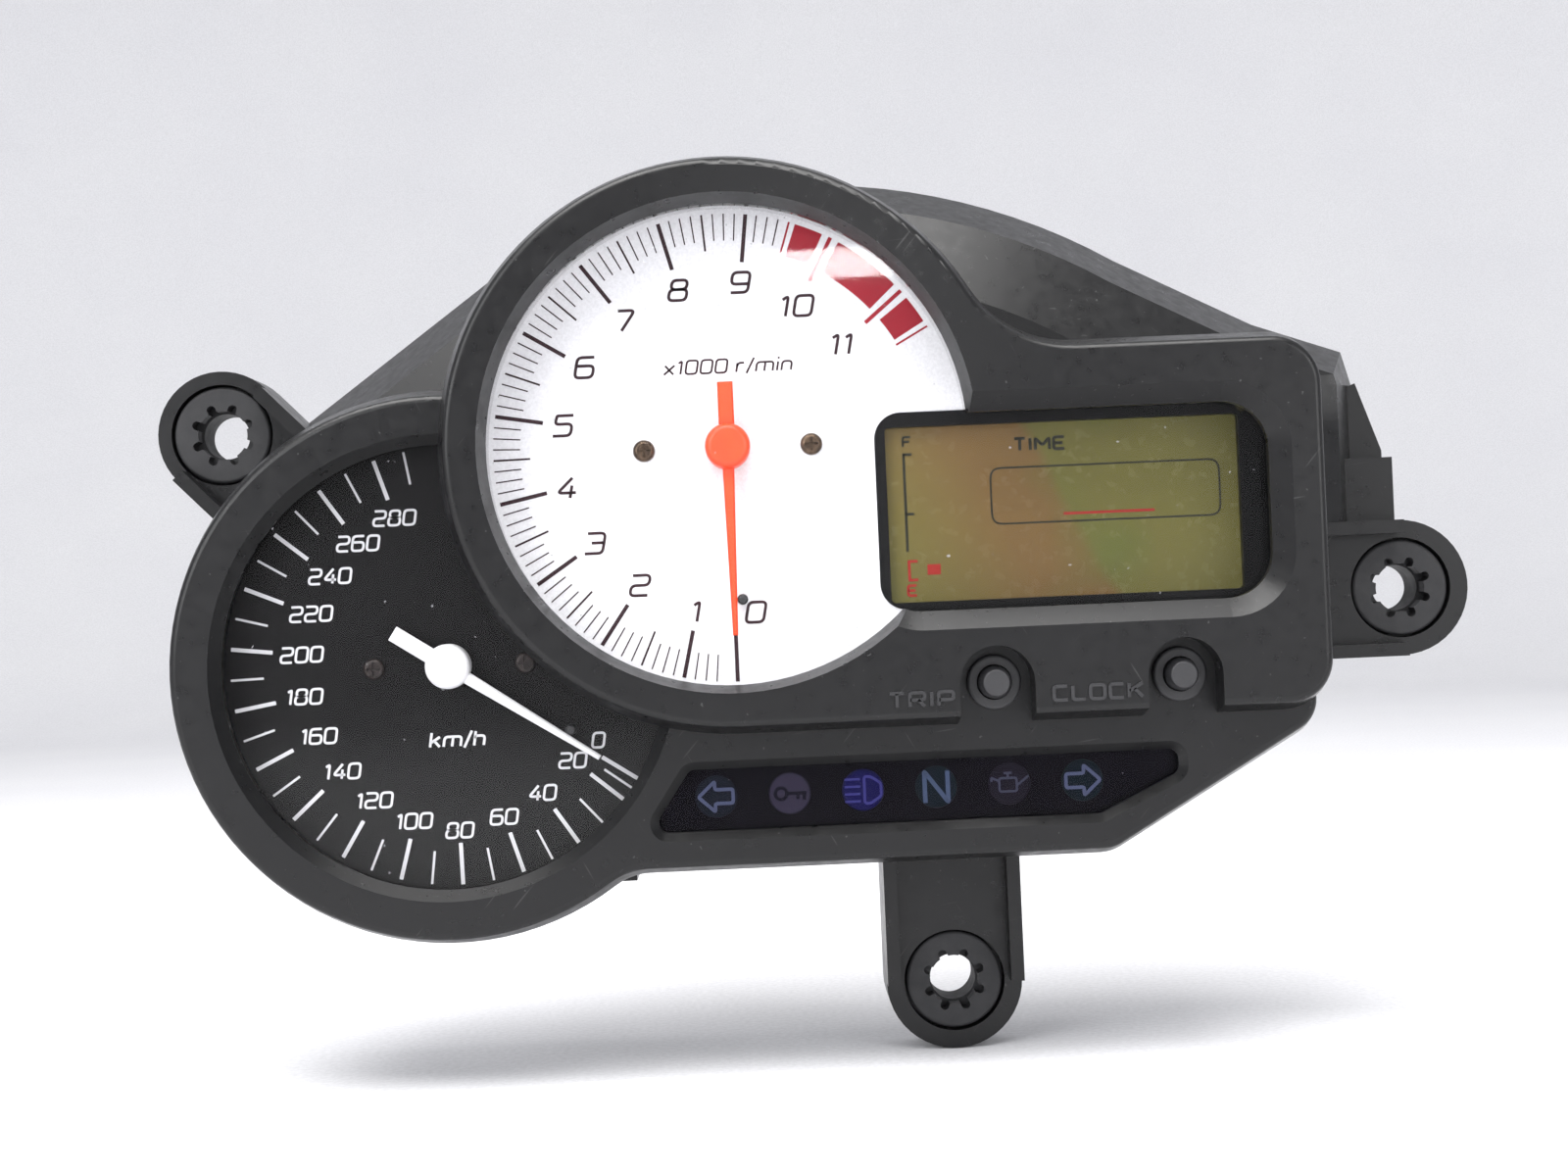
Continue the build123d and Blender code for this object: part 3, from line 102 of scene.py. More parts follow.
class Nodes:
    """A material being wired: each call adds one shader node and returns an output."""

    def __init__(self, name):
        self.material = bpy.data.materials.new(name)
        self.material.use_nodes = True
        self.tree = self.material.node_tree
        self.tree.nodes.clear()
        self.place = self.add("ShaderNodeTexCoord").outputs["Object"]

    def add(self, kind, **inputs):
        node = self.tree.nodes.new(kind)
        for key, value in inputs.items():
            self.plug(node, key.replace("_", " "), value)
        return node

    def plug(self, node, key, value):
        socket = node.inputs[key]
        if isinstance(value, bpy.types.NodeSocket):
            self.tree.links.new(value, socket)
        else:
            socket.default_value = value

    def stretch(self, scale):
        return self.add("ShaderNodeMapping", Vector=self.place, Scale=scale).outputs["Vector"]

    def strokes(self, thin, long, turn):
        """Places for fine lines that lie at a turn in the XZ plane; sizes in metres."""
        node = self.add(
            "ShaderNodeMapping", Vector=self.place, Scale=(thin, thin, long), Rotation=(0.0, turn, 0.0)
        )
        node.vector_type = "TEXTURE"
        return node.outputs["Vector"]

    def noise(self, scale, detail=4.0, rough=0.55, vector=None):
        return self.add(
            "ShaderNodeTexNoise", Vector=vector or self.place, Scale=scale,
            Detail=detail, Roughness=rough,
        ).outputs["Fac"]

    def ramp(self, value, low, high, out_low=0.0, out_high=1.0):
        node = self.add("ShaderNodeMapRange", Value=value)
        node.inputs["From Min"].default_value = low
        node.inputs["From Max"].default_value = high
        node.inputs["To Min"].default_value = out_low
        node.inputs["To Max"].default_value = out_high
        return node.outputs["Result"]

    def mix(self, factor, a, b):
        """Two colours mixed; the node's sockets 6 and 7 are its colours, output 2 the result."""
        node = self.tree.nodes.new("ShaderNodeMix")
        node.data_type = "RGBA"
        for index, value in ((0, factor), (6, a), (7, b)):
            self.plug(node, index, value)
        return node.outputs[2]

    def blend(self, share, under, over):
        """Two shaders mixed, by the share of the second."""
        node = self.tree.nodes.new("ShaderNodeMixShader")
        for index, value in enumerate((share, under, over)):
            self.plug(node, index, value)
        return node.outputs["Shader"]

    def times(self, a, b):
        node = self.tree.nodes.new("ShaderNodeMath")
        node.operation = "MULTIPLY"
        self.plug(node, 0, a)
        self.plug(node, 1, b)
        return node.outputs[0]

    def bump(self, height, distance):
        return self.add(
            "ShaderNodeBump", Height=height, Distance=distance, Strength=1.0
        ).outputs["Normal"]

    def finish(self, shader):
        out = self.tree.nodes.new("ShaderNodeOutputMaterial")
        self.tree.links.new(shader, out.inputs["Surface"])
        return self.material


def plastic(
    name, colour, colour_2, rough, grain, depth, patch=60.0,
    metal=0.0, specular=0.5, coat=0.0, scratches=0.0, streak=None,
):
    """A solid finish: cloudy colour, grain in its surface, uneven gloss and fine scratches.

    Grain and patch are noise scales, the grain's depth is in mm, and streak stretches the grain.
    """
    n = Nodes(name)
    cloud = n.noise(patch, 5.0)
    fine = n.noise(grain, 3.0, vector=n.stretch(streak) if streak else None)
    shade = n.ramp(cloud, 0.3, 0.7)
    base = n.mix(shade, colour, colour_2 or darker(colour, 0.82))
    base = n.mix(n.ramp(fine, 0.35, 0.75, 0.0, 0.35), base, darker(colour, 0.6))
    gloss = n.ramp(n.noise(grain * 0.2, 4.0), 0.3, 0.7, *rough)
    if scratches:
        for turn, thin, long in SCRATCHES:
            lines = n.noise(1.0, 1.0, vector=n.strokes(thin, long, turn))
            line = n.ramp(lines, 0.76, 0.8)
            base = n.mix(n.times(line, scratches), base, srgb(120, 120, 120))
        specks = n.ramp(n.noise(900.0, 1.0), 0.78, 0.8, 0.0, scratches)
        base = n.mix(specks, base, srgb(150, 150, 150))
    shader = n.add(
        "ShaderNodeBsdfPrincipled", Base_Color=base, Roughness=gloss,
        Normal=n.bump(fine, depth * MM),
    )
    shader.inputs["Metallic"].default_value = metal
    shader.inputs["Specular IOR Level"].default_value = specular
    shader.inputs["Coat Weight"].default_value = coat
    return n.finish(shader.outputs["BSDF"])


def clear(name, tint, gloss, smear, dust, mirror):
    """A clear moulding: what is behind shows through, under reflections, smears and dust.

    The mirror share is the reflection seen square on. It grows towards the edges alike on both
    sides of a wall, so a wall never goes opaque at a slant.
    """
    n = Nodes(name)
    smears = n.ramp(n.noise(35.0, 6.0, 0.7), 0.45, 0.75, gloss, gloss + smear)
    through = n.add("ShaderNodeBsdfTransparent", Color=tint)
    shine = n.add("ShaderNodeBsdfGlossy", Roughness=smears)
    veil = n.add("ShaderNodeBsdfDiffuse", Color=srgb(190, 190, 195))
    specks = n.times(n.ramp(n.noise(700.0, 1.0), 0.79, 0.81), dust)
    facing = n.add("ShaderNodeLayerWeight").outputs["Facing"]
    squared = n.times(facing, facing)
    fifth_power = n.times(n.times(squared, squared), facing)
    reflected = n.ramp(fifth_power, 0.0, 1.0, mirror, 1.0)
    lit = n.blend(reflected, through.outputs["BSDF"], shine.outputs["BSDF"])
    return n.finish(n.blend(specks, lit, veil.outputs["BSDF"]))


def crystal(name):
    """Liquid-crystal glass: olive, with green clouds in its polariser and a slanted brown band that is a
    painted reflection.
    """
    n = Nodes(name)
    low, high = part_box("display_glass")
    # painted reflection: a brown band slanting across the glass, with a soft wavy start and a sharp edge
    straight = n.add("ShaderNodeVectorMath", Vector=n.place)
    straight.operation = "DOT_PRODUCT"
    straight.inputs[1].default_value = REFLECTION_WAY
    wavy = n.add("ShaderNodeMath", Value=straight.outputs["Value"])
    n.plug(wavy, 1, n.times(n.noise(25.0, 1.0), REFLECTION_WAVE))
    edge_x = 0.47 * low.x + 0.53 * high.x
    edge_z = 0.36 * low.z + 0.64 * high.z
    edge = REFLECTION_WAY[0] * edge_x + REFLECTION_WAY[2] * edge_z
    reflection_rise = n.ramp(wavy.outputs[0], edge - REFLECTION_START, edge - REFLECTION_FULL)
    reflection_fall = n.ramp(wavy.outputs[0], edge, edge + REFLECTION_END, 1.0, 0.0)
    # the painted reflection's brown mixed over the olive glass
    base = n.mix(n.times(reflection_rise, reflection_fall), srgb(94, 90, 44), srgb(103, 80, 45))
    base = n.mix(n.ramp(n.noise(24.0, 2.0, 0.4), 0.54, 0.64, 0.0, 0.6), base, srgb(78, 90, 40))
    base = n.mix(n.ramp(n.noise(2200.0, 1.0), 0.4, 0.7, 0.0, 0.08), base, srgb(84, 80, 46))
    shader = n.add(
        "ShaderNodeBsdfPrincipled", Base_Color=base,
        Roughness=n.ramp(n.noise(400.0), 0.3, 0.7, 0.2, 0.3),
    )
    shader.inputs["Specular IOR Level"].default_value = 0.3
    return n.finish(shader.outputs["BSDF"])


def filters(name):
    """Lamp filters: dark film, with one colour for each window along the strip."""
    n = Nodes(name)
    across = n.add("ShaderNodeSeparateXYZ", Vector=n.place).outputs["X"]
    low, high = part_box("lamp_filters")
    band = n.add("ShaderNodeValToRGB", Fac=n.ramp(across, low.x, high.x)).outputs[0]
    colours = band.node.color_ramp
    colours.interpolation = "CONSTANT"
    stops = [
        srgb(16, 44, 44), srgb(56, 56, 62), srgb(24, 30, 120), srgb(14, 60, 46), srgb(30, 24, 26),
        srgb(14, 66, 48),
    ]
    while len(colours.elements) < len(stops):
        colours.elements.new(0.5)
    for i, colour in enumerate(stops):
        colours.elements[i].position = i / len(stops)
        colours.elements[i].color = colour
    fine = n.noise(3000.0)
    base = n.mix(n.ramp(fine, 0.3, 0.8, 0.0, 0.4), band, (0.0, 0.0, 0.0, 1.0))
    shader = n.add(
        "ShaderNodeBsdfPrincipled", Base_Color=base, Roughness=n.ramp(fine, 0.3, 0.7, 0.3, 0.42),
        Normal=n.bump(fine, 0.01 * MM),
    )
    return n.finish(shader.outputs["BSDF"])


LOOKS = {
    "case_plastic": plastic(
        "case_plastic", srgb(20, 20, 21), srgb(16, 16, 17), (0.26, 0.38), 1800.0, 0.004,
        22.0, specular=0.3, scratches=0.12,
    ),
    "clear_lens": clear("clear_lens", (0.985, 0.985, 0.985, 1.0), 0.015, 0.05, 0.3, 0.011),
    "smoked_lens": clear("smoked_lens", (0.62, 0.6, 0.68, 1.0), 0.03, 0.06, 0.3, 0.005),
    "black_rubber": plastic(
        "black_rubber", srgb(34, 34, 36), srgb(28, 28, 30), (0.55, 0.7), 2000.0, 0.012, 90.0,
        specular=0.4,
    ),
    "button_plastic": plastic(
        "button_plastic", srgb(42, 42, 44), srgb(35, 35, 38), (0.42, 0.55), 2400.0, 0.012, 150.0,
        specular=0.45,
    ),
    "white_plastic": plastic("white_plastic", srgb(228, 228, 222), None, (0.35, 0.5), 2500.0, 0.01),
    "black_component": plastic("black_component", srgb(34, 34, 36), None, (0.5, 0.65), 6000.0, 0.02),
    "screw_steel": plastic(
        "screw_steel", srgb(184, 184, 188), None, (0.22, 0.4), 3500.0, 0.01, 300.0, metal=1.0
    ),
    "black_screw": plastic(
        "black_screw", srgb(96, 78, 62), srgb(58, 48, 40), (0.25, 0.42), 2400.0, 0.01, 500.0, metal=0.7
    ),
    "board_green": plastic(
        "board_green", srgb(22, 108, 62), srgb(18, 92, 54), (0.2, 0.32), 900.0, 0.02, 200.0, coat=0.3
    ),
    "white_dial": plastic(
        "white_dial", srgb(237, 237, 240), srgb(233, 233, 237), (0.45, 0.55), 1800.0, 0.002, 18.0,
        specular=0.3,
    ),
    "black_dial": plastic(
        "black_dial", srgb(12, 11, 12), srgb(9, 8, 9), (0.38, 0.48), 1800.0, 0.002, 24.0,
        specular=0.12,
    ),
    "orange_pointer": plastic(
        "orange_pointer", srgb(250, 76, 34), srgb(246, 68, 30), (0.35, 0.45), 2400.0, 0.004, 200.0
    ),
    "white_pointer": plastic(
        "white_pointer", srgb(240, 240, 242), srgb(230, 230, 234), (0.35, 0.45), 2400.0, 0.004, 200.0
    ),
    "display_black": plastic(
        "display_black", srgb(11, 11, 12), srgb(8, 8, 9), (0.3, 0.4), 1800.0, 0.002, 80.0,
        specular=0.15,
    ),
    "display_glass": crystal("display_glass"),
    "contact_brass": plastic(
        "contact_brass", srgb(206, 176, 112), None, (0.25, 0.4), 3000.0, 0.01, 300.0, metal=1.0
    ),
    "lamp_filter": filters("lamp_filter"),
    "led_resin": plastic("led_resin", srgb(236, 226, 190), None, (0.15, 0.25), 1500.0, 0.01, coat=0.5),
    "capacitor_can": plastic(
        "capacitor_can", srgb(196, 197, 201), None, (0.24, 0.36), 2500.0, 0.01, 200.0, metal=1.0
    ),
    "connector_plastic": plastic(
        "connector_plastic", srgb(44, 44, 46), srgb(36, 36, 38), (0.45, 0.6), 3800.0, 0.03, 60.0
    ),
    "copper_winding": plastic(
        "copper_winding", srgb(196, 112, 62), srgb(160, 86, 44), (0.25, 0.4), 500.0, 0.08, 300.0,
        metal=0.9, streak=(1.0, 1.0, 9.0),
    ),
    "can_steel": plastic(
        "can_steel", srgb(176, 177, 180), None, (0.28, 0.42), 1200.0, 0.01, 200.0, metal=1.0,
        streak=(1.0, 0.05, 1.0),
    ),
    "magnet_ferrite": plastic("magnet_ferrite", srgb(78, 78, 82), None, (0.5, 0.7), 4200.0, 0.05, 200.0),
}
for node in nodes.values():
    for holder in node.material_slots:
        holder.material = LOOKS[holder.material.name.split(".")[0]]
nodes["speedo_dial_screws"].material_slots[0].material = plastic(
    "dark_screw", srgb(44, 36, 34), srgb(30, 26, 26), (0.3, 0.45), 2400.0, 0.01, 500.0, metal=0.5
)
nodes["button_boots"].material_slots[0].material = plastic(
    "boot_rubber", srgb(44, 44, 46), srgb(38, 38, 40), (0.45, 0.6), 2200.0, 0.006, 120.0, specular=0.4
)


# ---------------------------------------------------------------- printed graphics
def rounded(path, radius, closed):
    """A line with its corners rounded."""
    points = [Vector(p) for p in path]
    if closed and (points[0] - points[-1]).length < 1e-6:
        points.pop()
    out = []
    count = len(points)
    for i, here in enumerate(points):
        if not closed and i in (0, count - 1):
            out.append(here)
            continue
        before = points[i - 1] - here
        after = points[(i + 1) % count] - here
        reach = min(radius, before.length / 2, after.length / 2)
        a = here + before.normalized() * reach
        b = here + after.normalized() * reach
        for k in range(CORNER_STEPS + 1):
            t = k / CORNER_STEPS
            out.append((1 - t) ** 2 * a + 2 * t * (1 - t) * here + t * t * b)
    kept = [out[0]]
    for p in out[1:]:
        if (p - kept[-1]).length > 1e-4:
            kept.append(p)
    if closed and (kept[0] - kept[-1]).length < 1e-4:
        kept.pop()
    return kept


def ribbon(path, width, closed):
    """Left and right edges of a line of that width, mitred at its corners."""
    count = len(path)
    left, right = [], []
    for i, here in enumerate(path):
        ways = []
        if closed or i > 0:
            ways.append((here - path[i - 1]).normalized())
        if closed or i < count - 1:
            ways.append((path[(i + 1) % count] - here).normalized())
        normals = [Vector((-w.y, w.x)) for w in ways]
        mitre = sum(normals, Vector((0.0, 0.0))).normalized()
        reach = width / 2 / max(0.45, mitre.dot(normals[0]))
        left.append(here + mitre * reach)
        right.append(here - mitre * reach)
    return left, right


class Print:
    """Thin raised shapes on a face that looks along -Y, in millimetres from an origin."""

    def __init__(self, origin, face, thick=INK):
        self.origin = origin
        self.back = face - INK_LIFT * MM
        self.front = self.back - thick * MM
        self.points = []
        self.faces = []

    def corner(self, p, y):
        self.points.append((self.origin.x + p.x * MM, y, self.origin.z + p.y * MM))
        return len(self.points) - 1

    def line(self, path, width, closed=False):
        """A line of even width."""
        left, right = ribbon([Vector(p) for p in path], width, closed)
        section = (
            (left, self.front), (right, self.front), (right, self.back), (left, self.back)
        )
        rows = [[self.corner(p, y) for p in edge] for edge, y in section]
        count = len(left)
        for i in range(count if closed else count - 1):
            j = (i + 1) % count
            for a, b in ((0, 1), (1, 2), (2, 3), (3, 0)):
                self.faces.append((rows[a][i], rows[b][i], rows[b][j], rows[a][j]))
        if not closed:
            self.faces.append([rows[k][0] for k in (3, 2, 1, 0)])
            self.faces.append([rows[k][count - 1] for k in (0, 1, 2, 3)])

    def area(self, outline):
        """A filled shape without hollows."""
        outline = [Vector(p) for p in outline]
        front = [self.corner(p, self.front) for p in outline]
        back = [self.corner(p, self.back) for p in outline]
        self.faces += [front, back[::-1]]
        for i in range(len(outline)):
            j = (i + 1) % len(outline)
            self.faces.append((front[i], back[i], back[j], front[j]))

    def disc(self, radius):
        """A filled circle round the origin."""
        angles = [2 * math.pi * k / DISC_STEPS for k in range(DISC_STEPS)]
        self.area([(radius * math.cos(a), radius * math.sin(a)) for a in angles])

    def ring(self, centre, radius, width, steps):
        self.arc(centre, radius, width, 0.0, 360.0 * (1 - 1 / steps), steps, True)

    def arc(self, centre, radius, width, start, end, steps=12, closed=False):
        """A curved bar between two angles, clockwise from straight down."""
        self.line(
            [dial_place(radius, start + (end - start) * k / (steps - 1), centre) for k in range(steps)],
            width, closed,
        )

    def tick(self, angle, inner, outer, width, side=0.0):
        """A radial mark; side shifts it sideways."""
        way = Vector(dial_place(1.0, angle))
        across = Vector((-way.y, way.x)) * side
        self.line([way * inner + across, way * outer + across], width)

    def text(self, words, centre, height, weight, wide=0.8, gap=0.3, slant=0.0):
        """Letters and figures drawn with an even stroke; sizes but the height are shares of it."""
        widths = [GLYPHS[c][0] * wide * height for c in words]
        total = sum(widths) + gap * height * (len(words) - 1)
        x = centre[0] - total / 2
        for c, w in zip(words, widths):
            for path in GLYPHS[c][1]:
                closed = path[0] == path[-1] and len(path) > 2
                drawn = [
                    (x + px * w + slant * (pz - 0.5) * height, centre[1] + (pz - 0.5) * height)
                    for px, pz in path
                ]
                self.line(rounded(drawn, 0.24 * height, closed), weight * height, closed)
            x += w + gap * height

    def make(self, name, look):
        """Makes the piece, riding on the housing."""
        mesh = bpy.data.meshes.new(name)
        mesh.from_pydata(self.points, [], [tuple(f) for f in self.faces])
        mesh.update()
        piece = bpy.data.objects.new(name, mesh)
        bpy.context.scene.collection.objects.link(piece)
        mesh.materials.append(look)
        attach(piece, "housing")


def dial_place(radius, angle, centre=(0.0, 0.0)):
    """A point at an angle clockwise from straight down."""
    a = math.radians(angle)
    return (centre[0] - radius * math.sin(a), centre[1] - radius * math.cos(a))


LOOP = [(0, 0), (1, 0), (1, 1), (0, 1), (0, 0)]
GLYPHS = {    # width as a share of the height, and strokes in shares of width and height
    "0": (1.0, [LOOP]),
    "1": (0.4, [[(0.0, 0.82), (0.75, 1.0), (0.75, 0.0)]]),
    "2": (1.0, [[(0, 1), (1, 1), (1, 0.5), (0, 0.5), (0, 0), (1, 0)]]),
    "3": (1.0, [[(0, 1), (1, 1), (1, 0), (0, 0)], [(0.3, 0.52), (0.98, 0.52)]]),
    "4": (1.0, [[(0.72, 1), (0, 0.26), (1.05, 0.26)], [(0.76, 0.62), (0.76, 0)]]),
    "5": (1.0, [[(1, 1), (0.12, 1), (0.07, 0.96), (0.02, 0.58), (1, 0.58), (1, 0), (0, 0)]]),
    "6": (1.0, [[(0.95, 1), (0, 1), (0, 0), (1, 0), (1, 0.58), (0.02, 0.58)]]),
    "7": (0.95, [[(0, 1), (1, 1), (0.4, 0)]]),
    "8": (1.0, [
        [(0, 0), (1, 0), (1, 0.54), (0, 0.54), (0, 0)],
        [(0.06, 0.54), (0.94, 0.54), (0.94, 1), (0.06, 1), (0.06, 0.54)],
    ]),
    "9": (1.0, [[(0.05, 0), (1, 0), (1, 1), (0, 1), (0, 0.42), (0.98, 0.42)]]),
    "x": (0.85, [[(0, 0), (1, 0.68)], [(0, 0.68), (1, 0)]]),
    "r": (0.6, [[(0, 0), (0, 0.68)], [(0, 0.4), (0.15, 0.68), (1, 0.68)]]),
    "/": (0.5, [[(0, -0.12), (1, 1.05)]]),
    "m": (1.5, [[(0, 0), (0, 0.68), (1, 0.68), (1, 0)], [(0.5, 0.66), (0.5, 0)]]),
    "i": (0.12, [[(0.5, 0), (0.5, 0.68)], [(0.5, 0.88), (0.5, 1.02)]]),
    "n": (0.85, [[(0, 0), (0, 0.68), (1, 0.68), (1, 0)]]),
    "k": (0.85, [[(0, 0), (0, 1)], [(0.9, 0.7), (0.03, 0.3)], [(0.35, 0.44), (1, 0)]]),
    "h": (0.85, [[(0, 0), (0, 1)], [(0, 0.5), (0.1, 0.68), (1, 0.68), (1, 0)]]),
    "T": (0.9, [[(0, 1), (1, 1)], [(0.5, 0.98), (0.5, 0)]]),
    "I": (0.15, [[(0.5, 0), (0.5, 1)]]),
    "M": (1.2, [[(0, 0), (0, 1), (0.5, 0.35), (1, 1), (1, 0)]]),
    "E": (0.9, [[(1, 1), (0, 1), (0, 0), (1, 0)], [(0.03, 0.5), (0.85, 0.5)]]),
    " ": (0.25, []),
    "F": (0.9, [[(1, 1), (0, 1), (0, 0)], [(0.03, 0.5), (0.85, 0.5)]]),
    "R": (0.95, [[(0, 0), (0, 1), (1, 1), (1, 0.48), (0.03, 0.48)], [(0.55, 0.46), (1, 0)]]),
    "P": (0.95, [[(0, 0), (0, 1), (1, 1), (1, 0.42), (0.03, 0.42)]]),
    "C": (0.95, [[(1, 1), (0, 1), (0, 0), (1, 0)]]),
    "L": (0.85, [[(0, 1), (0, 0), (1, 0)]]),
    "O": (1.0, [LOOP]),
    "K": (0.95, [[(0, 0), (0, 1)], [(1, 1), (0.04, 0.45)], [(0.4, 0.62), (1, 0)]]),
}


def ink(name, colour):
    """Printed ink, slightly uneven."""
    return plastic(name, colour, darker(colour, 0.9), (0.35, 0.5), 2400.0, 0.002, 120.0, specular=0.3)


MAROON = ink("ink_maroon", srgb(46, 20, 28))
WHITE = ink("ink_white", srgb(206, 206, 210))
RED = ink("ink_red", srgb(164, 26, 44))
SEGMENT = ink("ink_segment", srgb(30, 30, 16))
SEGMENT_RED = ink("ink_segment_red", srgb(146, 26, 16))


def figure_reach(angle, half_wide, height):
    """How far a figure reaches outwards from its centre, towards the marks."""
    a = math.radians(angle)
    return half_wide * abs(math.sin(a)) + height / 2 * abs(math.cos(a))


# tachometer: angles in degrees clockwise from straight down, lengths in mm
TACHO_FIRST = 13.2        # at 1 (thousand)
TACHO_STEP = 21.7         # for each further thousand
TACHO_OUTER = 51.2
TACHO_INNER = {"major": 40.7, "half": 43.2, "minor": 45.3}
TACHO_WIDTH = {"major": 0.86, "half": 0.42, "minor": 0.28}
TACHO_EIGHTHS = ("major", "minor", "minor", "minor", "half", "minor", "minor", "minor")
TACHO_FIGURE = 4.4        # height of a figure
TACHO_GAP = 2.0           # between a figure and the marks
FIRST_MINORS = (5.1, 7.8, 10.5)
REDLINE_START = 9.45      # the dark marks end before it
REDLINE = ((9.57, 9.9), (10.1, 10.9), (11.1, 11.43))
REDLINE_RADIUS = 47.3
REDLINE_WIDTH = 7.6


def tacho_angle(value):
    return TACHO_FIRST + TACHO_STEP * (value - 1) if value else 0.0


tacho_scale = Print(TACHO, TACHO_FACE)
for angle in FIRST_MINORS:
    tacho_scale.tick(angle, TACHO_INNER["minor"], TACHO_OUTER, TACHO_WIDTH["minor"])
tacho_scale.tick(0.0, TACHO_INNER["major"], TACHO_OUTER, TACHO_WIDTH["major"])
for eighth in range(76):
    value = 1 + eighth / 8
    kind = TACHO_EIGHTHS[eighth % 8]
    if value < REDLINE_START:
        tacho_scale.tick(tacho_angle(value), TACHO_INNER[kind], TACHO_OUTER, TACHO_WIDTH[kind])
redline = Print(TACHO, TACHO_FACE)
for kind, values in (("half", (9.5, 11.5)), ("major", (10, 11))):
    for value in values:
        redline.tick(tacho_angle(value), TACHO_INNER[kind], TACHO_OUTER, TACHO_WIDTH[kind])
for first, last in REDLINE:
    redline.arc((0, 0), REDLINE_RADIUS, REDLINE_WIDTH, tacho_angle(first), tacho_angle(last))
tacho_figures = Print(TACHO, TACHO_FACE)
for value in range(12):
    half_wide = 2.1 if value < 10 else 4.6
    reach = figure_reach(tacho_angle(value), half_wide, TACHO_FIGURE)
    if value == 1:
        reach = TACHO_FIGURE / 2
    radius = TACHO_INNER["major"] - TACHO_GAP - reach
    angle = tacho_angle(value) - (7.3 if value == 0 else 0.0)    # 0 stands beside its mark
    tacho_figures.text(
        str(value), dial_place(radius, angle), TACHO_FIGURE, 0.15, 0.88, 0.3, 0.2
    )
tacho_figures.text("x1000 r/min", (0.9, 17.9), 2.9, 0.155, 0.84, 0.28, 0.18)
tacho_scale.make("tacho_scale", MAROON)
redline.make("tacho_redline", RED)
tacho_figures.make("tacho_figures", MAROON)

# speedometer, in the same terms
SPEEDO_ZERO = -56.5
SPEEDO_FIRST = -49.9      # at 20
SPEEDO_STEP = 16.3        # for each further 20
SPEEDO_OUTER = 48.0
SPEEDO_INNER = {"major": 38.9, "minor": 40.8}
SPEEDO_WIDTH = {"major": 0.86, "minor": 0.5}
SPEEDO_FIGURE = 3.2
SPEEDO_GAP = 1.1
speedo_scale = Print(SPEEDO, SPEEDO_FACE)
speedo_marks = [(SPEEDO_ZERO, "major"), (SPEEDO_ZERO + 2.9, "minor")]
for tenth in range(28):
    kind = "minor" if tenth % 2 else "major"
    speedo_marks.append((SPEEDO_FIRST + SPEEDO_STEP * tenth / 2, kind))
for angle, kind in speedo_marks:
    speedo_scale.tick(angle, SPEEDO_INNER[kind], SPEEDO_OUTER, SPEEDO_WIDTH[kind])
speedo_figures = Print(SPEEDO, SPEEDO_FACE)
for value in range(0, 300, 20):
    angle = SPEEDO_FIRST + SPEEDO_STEP * (value - 20) / 20 if value else SPEEDO_ZERO - 4.4
    reach = figure_reach(angle, 0.5 + 1.55 * len(str(value)), SPEEDO_FIGURE)
    radius = SPEEDO_INNER["major"] - SPEEDO_GAP - reach + (1.2 if value == 0 else 0.0)
    speedo_figures.text(
        str(value), dial_place(radius, angle), SPEEDO_FIGURE, 0.165, 0.78, 0.24, 0.16
    )
speedo_figures.text("km/h", (1.0, -16.1), 3.1, 0.18, 0.8, 0.28, 0.16)
speedo_scale.make("speedo_scale", WHITE)
speedo_figures.make("speedo_figures", WHITE)

# liquid-crystal display: places in mm from the tachometer's centre
BAR_WIDTH = 0.6           # of the display's thick segments
TIME_BOX = [(57.4, -6.9), (107.9, -6.9), (107.9, -19.2), (57.4, -19.2), (57.4, -6.9)]
TIME_BOX_CORNER = 2.4
TIME_BOX_WIDTH = 0.4
FUEL_X = 38.5             # the upright line of the fuel gauge
RED_BRACKET = [(40.6, -26.6), (38.7, -26.6), (38.7, -30.7), (40.6, -30.7)]
RED_SQUARE = [(42.7, -29.7), (45.6, -29.7), (45.6, -27.4), (42.7, -27.4)]
segments = Print(TACHO, GLASS_FACE)
segments.line(rounded(TIME_BOX, TIME_BOX_CORNER, True), TIME_BOX_WIDTH, True)
segments.text("TIME", (68.5, -1.9), 2.6, 0.27, 1.0, 0.36)
segments.line([(FUEL_X, -2.9), (FUEL_X, -24.4)], BAR_WIDTH)
for z in (-3.1, -16.2):
    segments.line([(FUEL_X - 0.2, z), (FUEL_X + 1.8, z)], BAR_WIDTH)
segments.text("F", (39.3, -0.3), 2.1, 0.24, 0.9)
segments.make("display_segments", SEGMENT)
warnings = Print(TACHO, GLASS_FACE)
warnings.line([(73.2, -17.5), (93.3, -17.5)], BAR_WIDTH)
warnings.line(RED_BRACKET, BAR_WIDTH)
warnings.text("E", (39.2, -33.0), 2.2, 0.26, 0.95)
warnings.area(RED_SQUARE)
warnings.make("display_warnings", SEGMENT_RED)

# raised labels beside the buttons
LABEL_RELIEF = 0.4        # mm
LABEL_Z = -56.0           # mm from the tachometer's centre
LABEL_HEIGHT = 2.9
label = Print(TACHO, COVER_FACE, LABEL_RELIEF)
label.text("TRIP", (38.7, LABEL_Z), LABEL_HEIGHT, 0.25, 1.15, 0.42)
label.text("CLOCK", (76.1, LABEL_Z), LABEL_HEIGHT, 0.25, 1.04, 0.4)
label.make(
    "button_labels",
    plastic("label_black", srgb(40, 40, 42), srgb(34, 34, 36), (0.25, 0.36), 2600.0, 0.004),
)

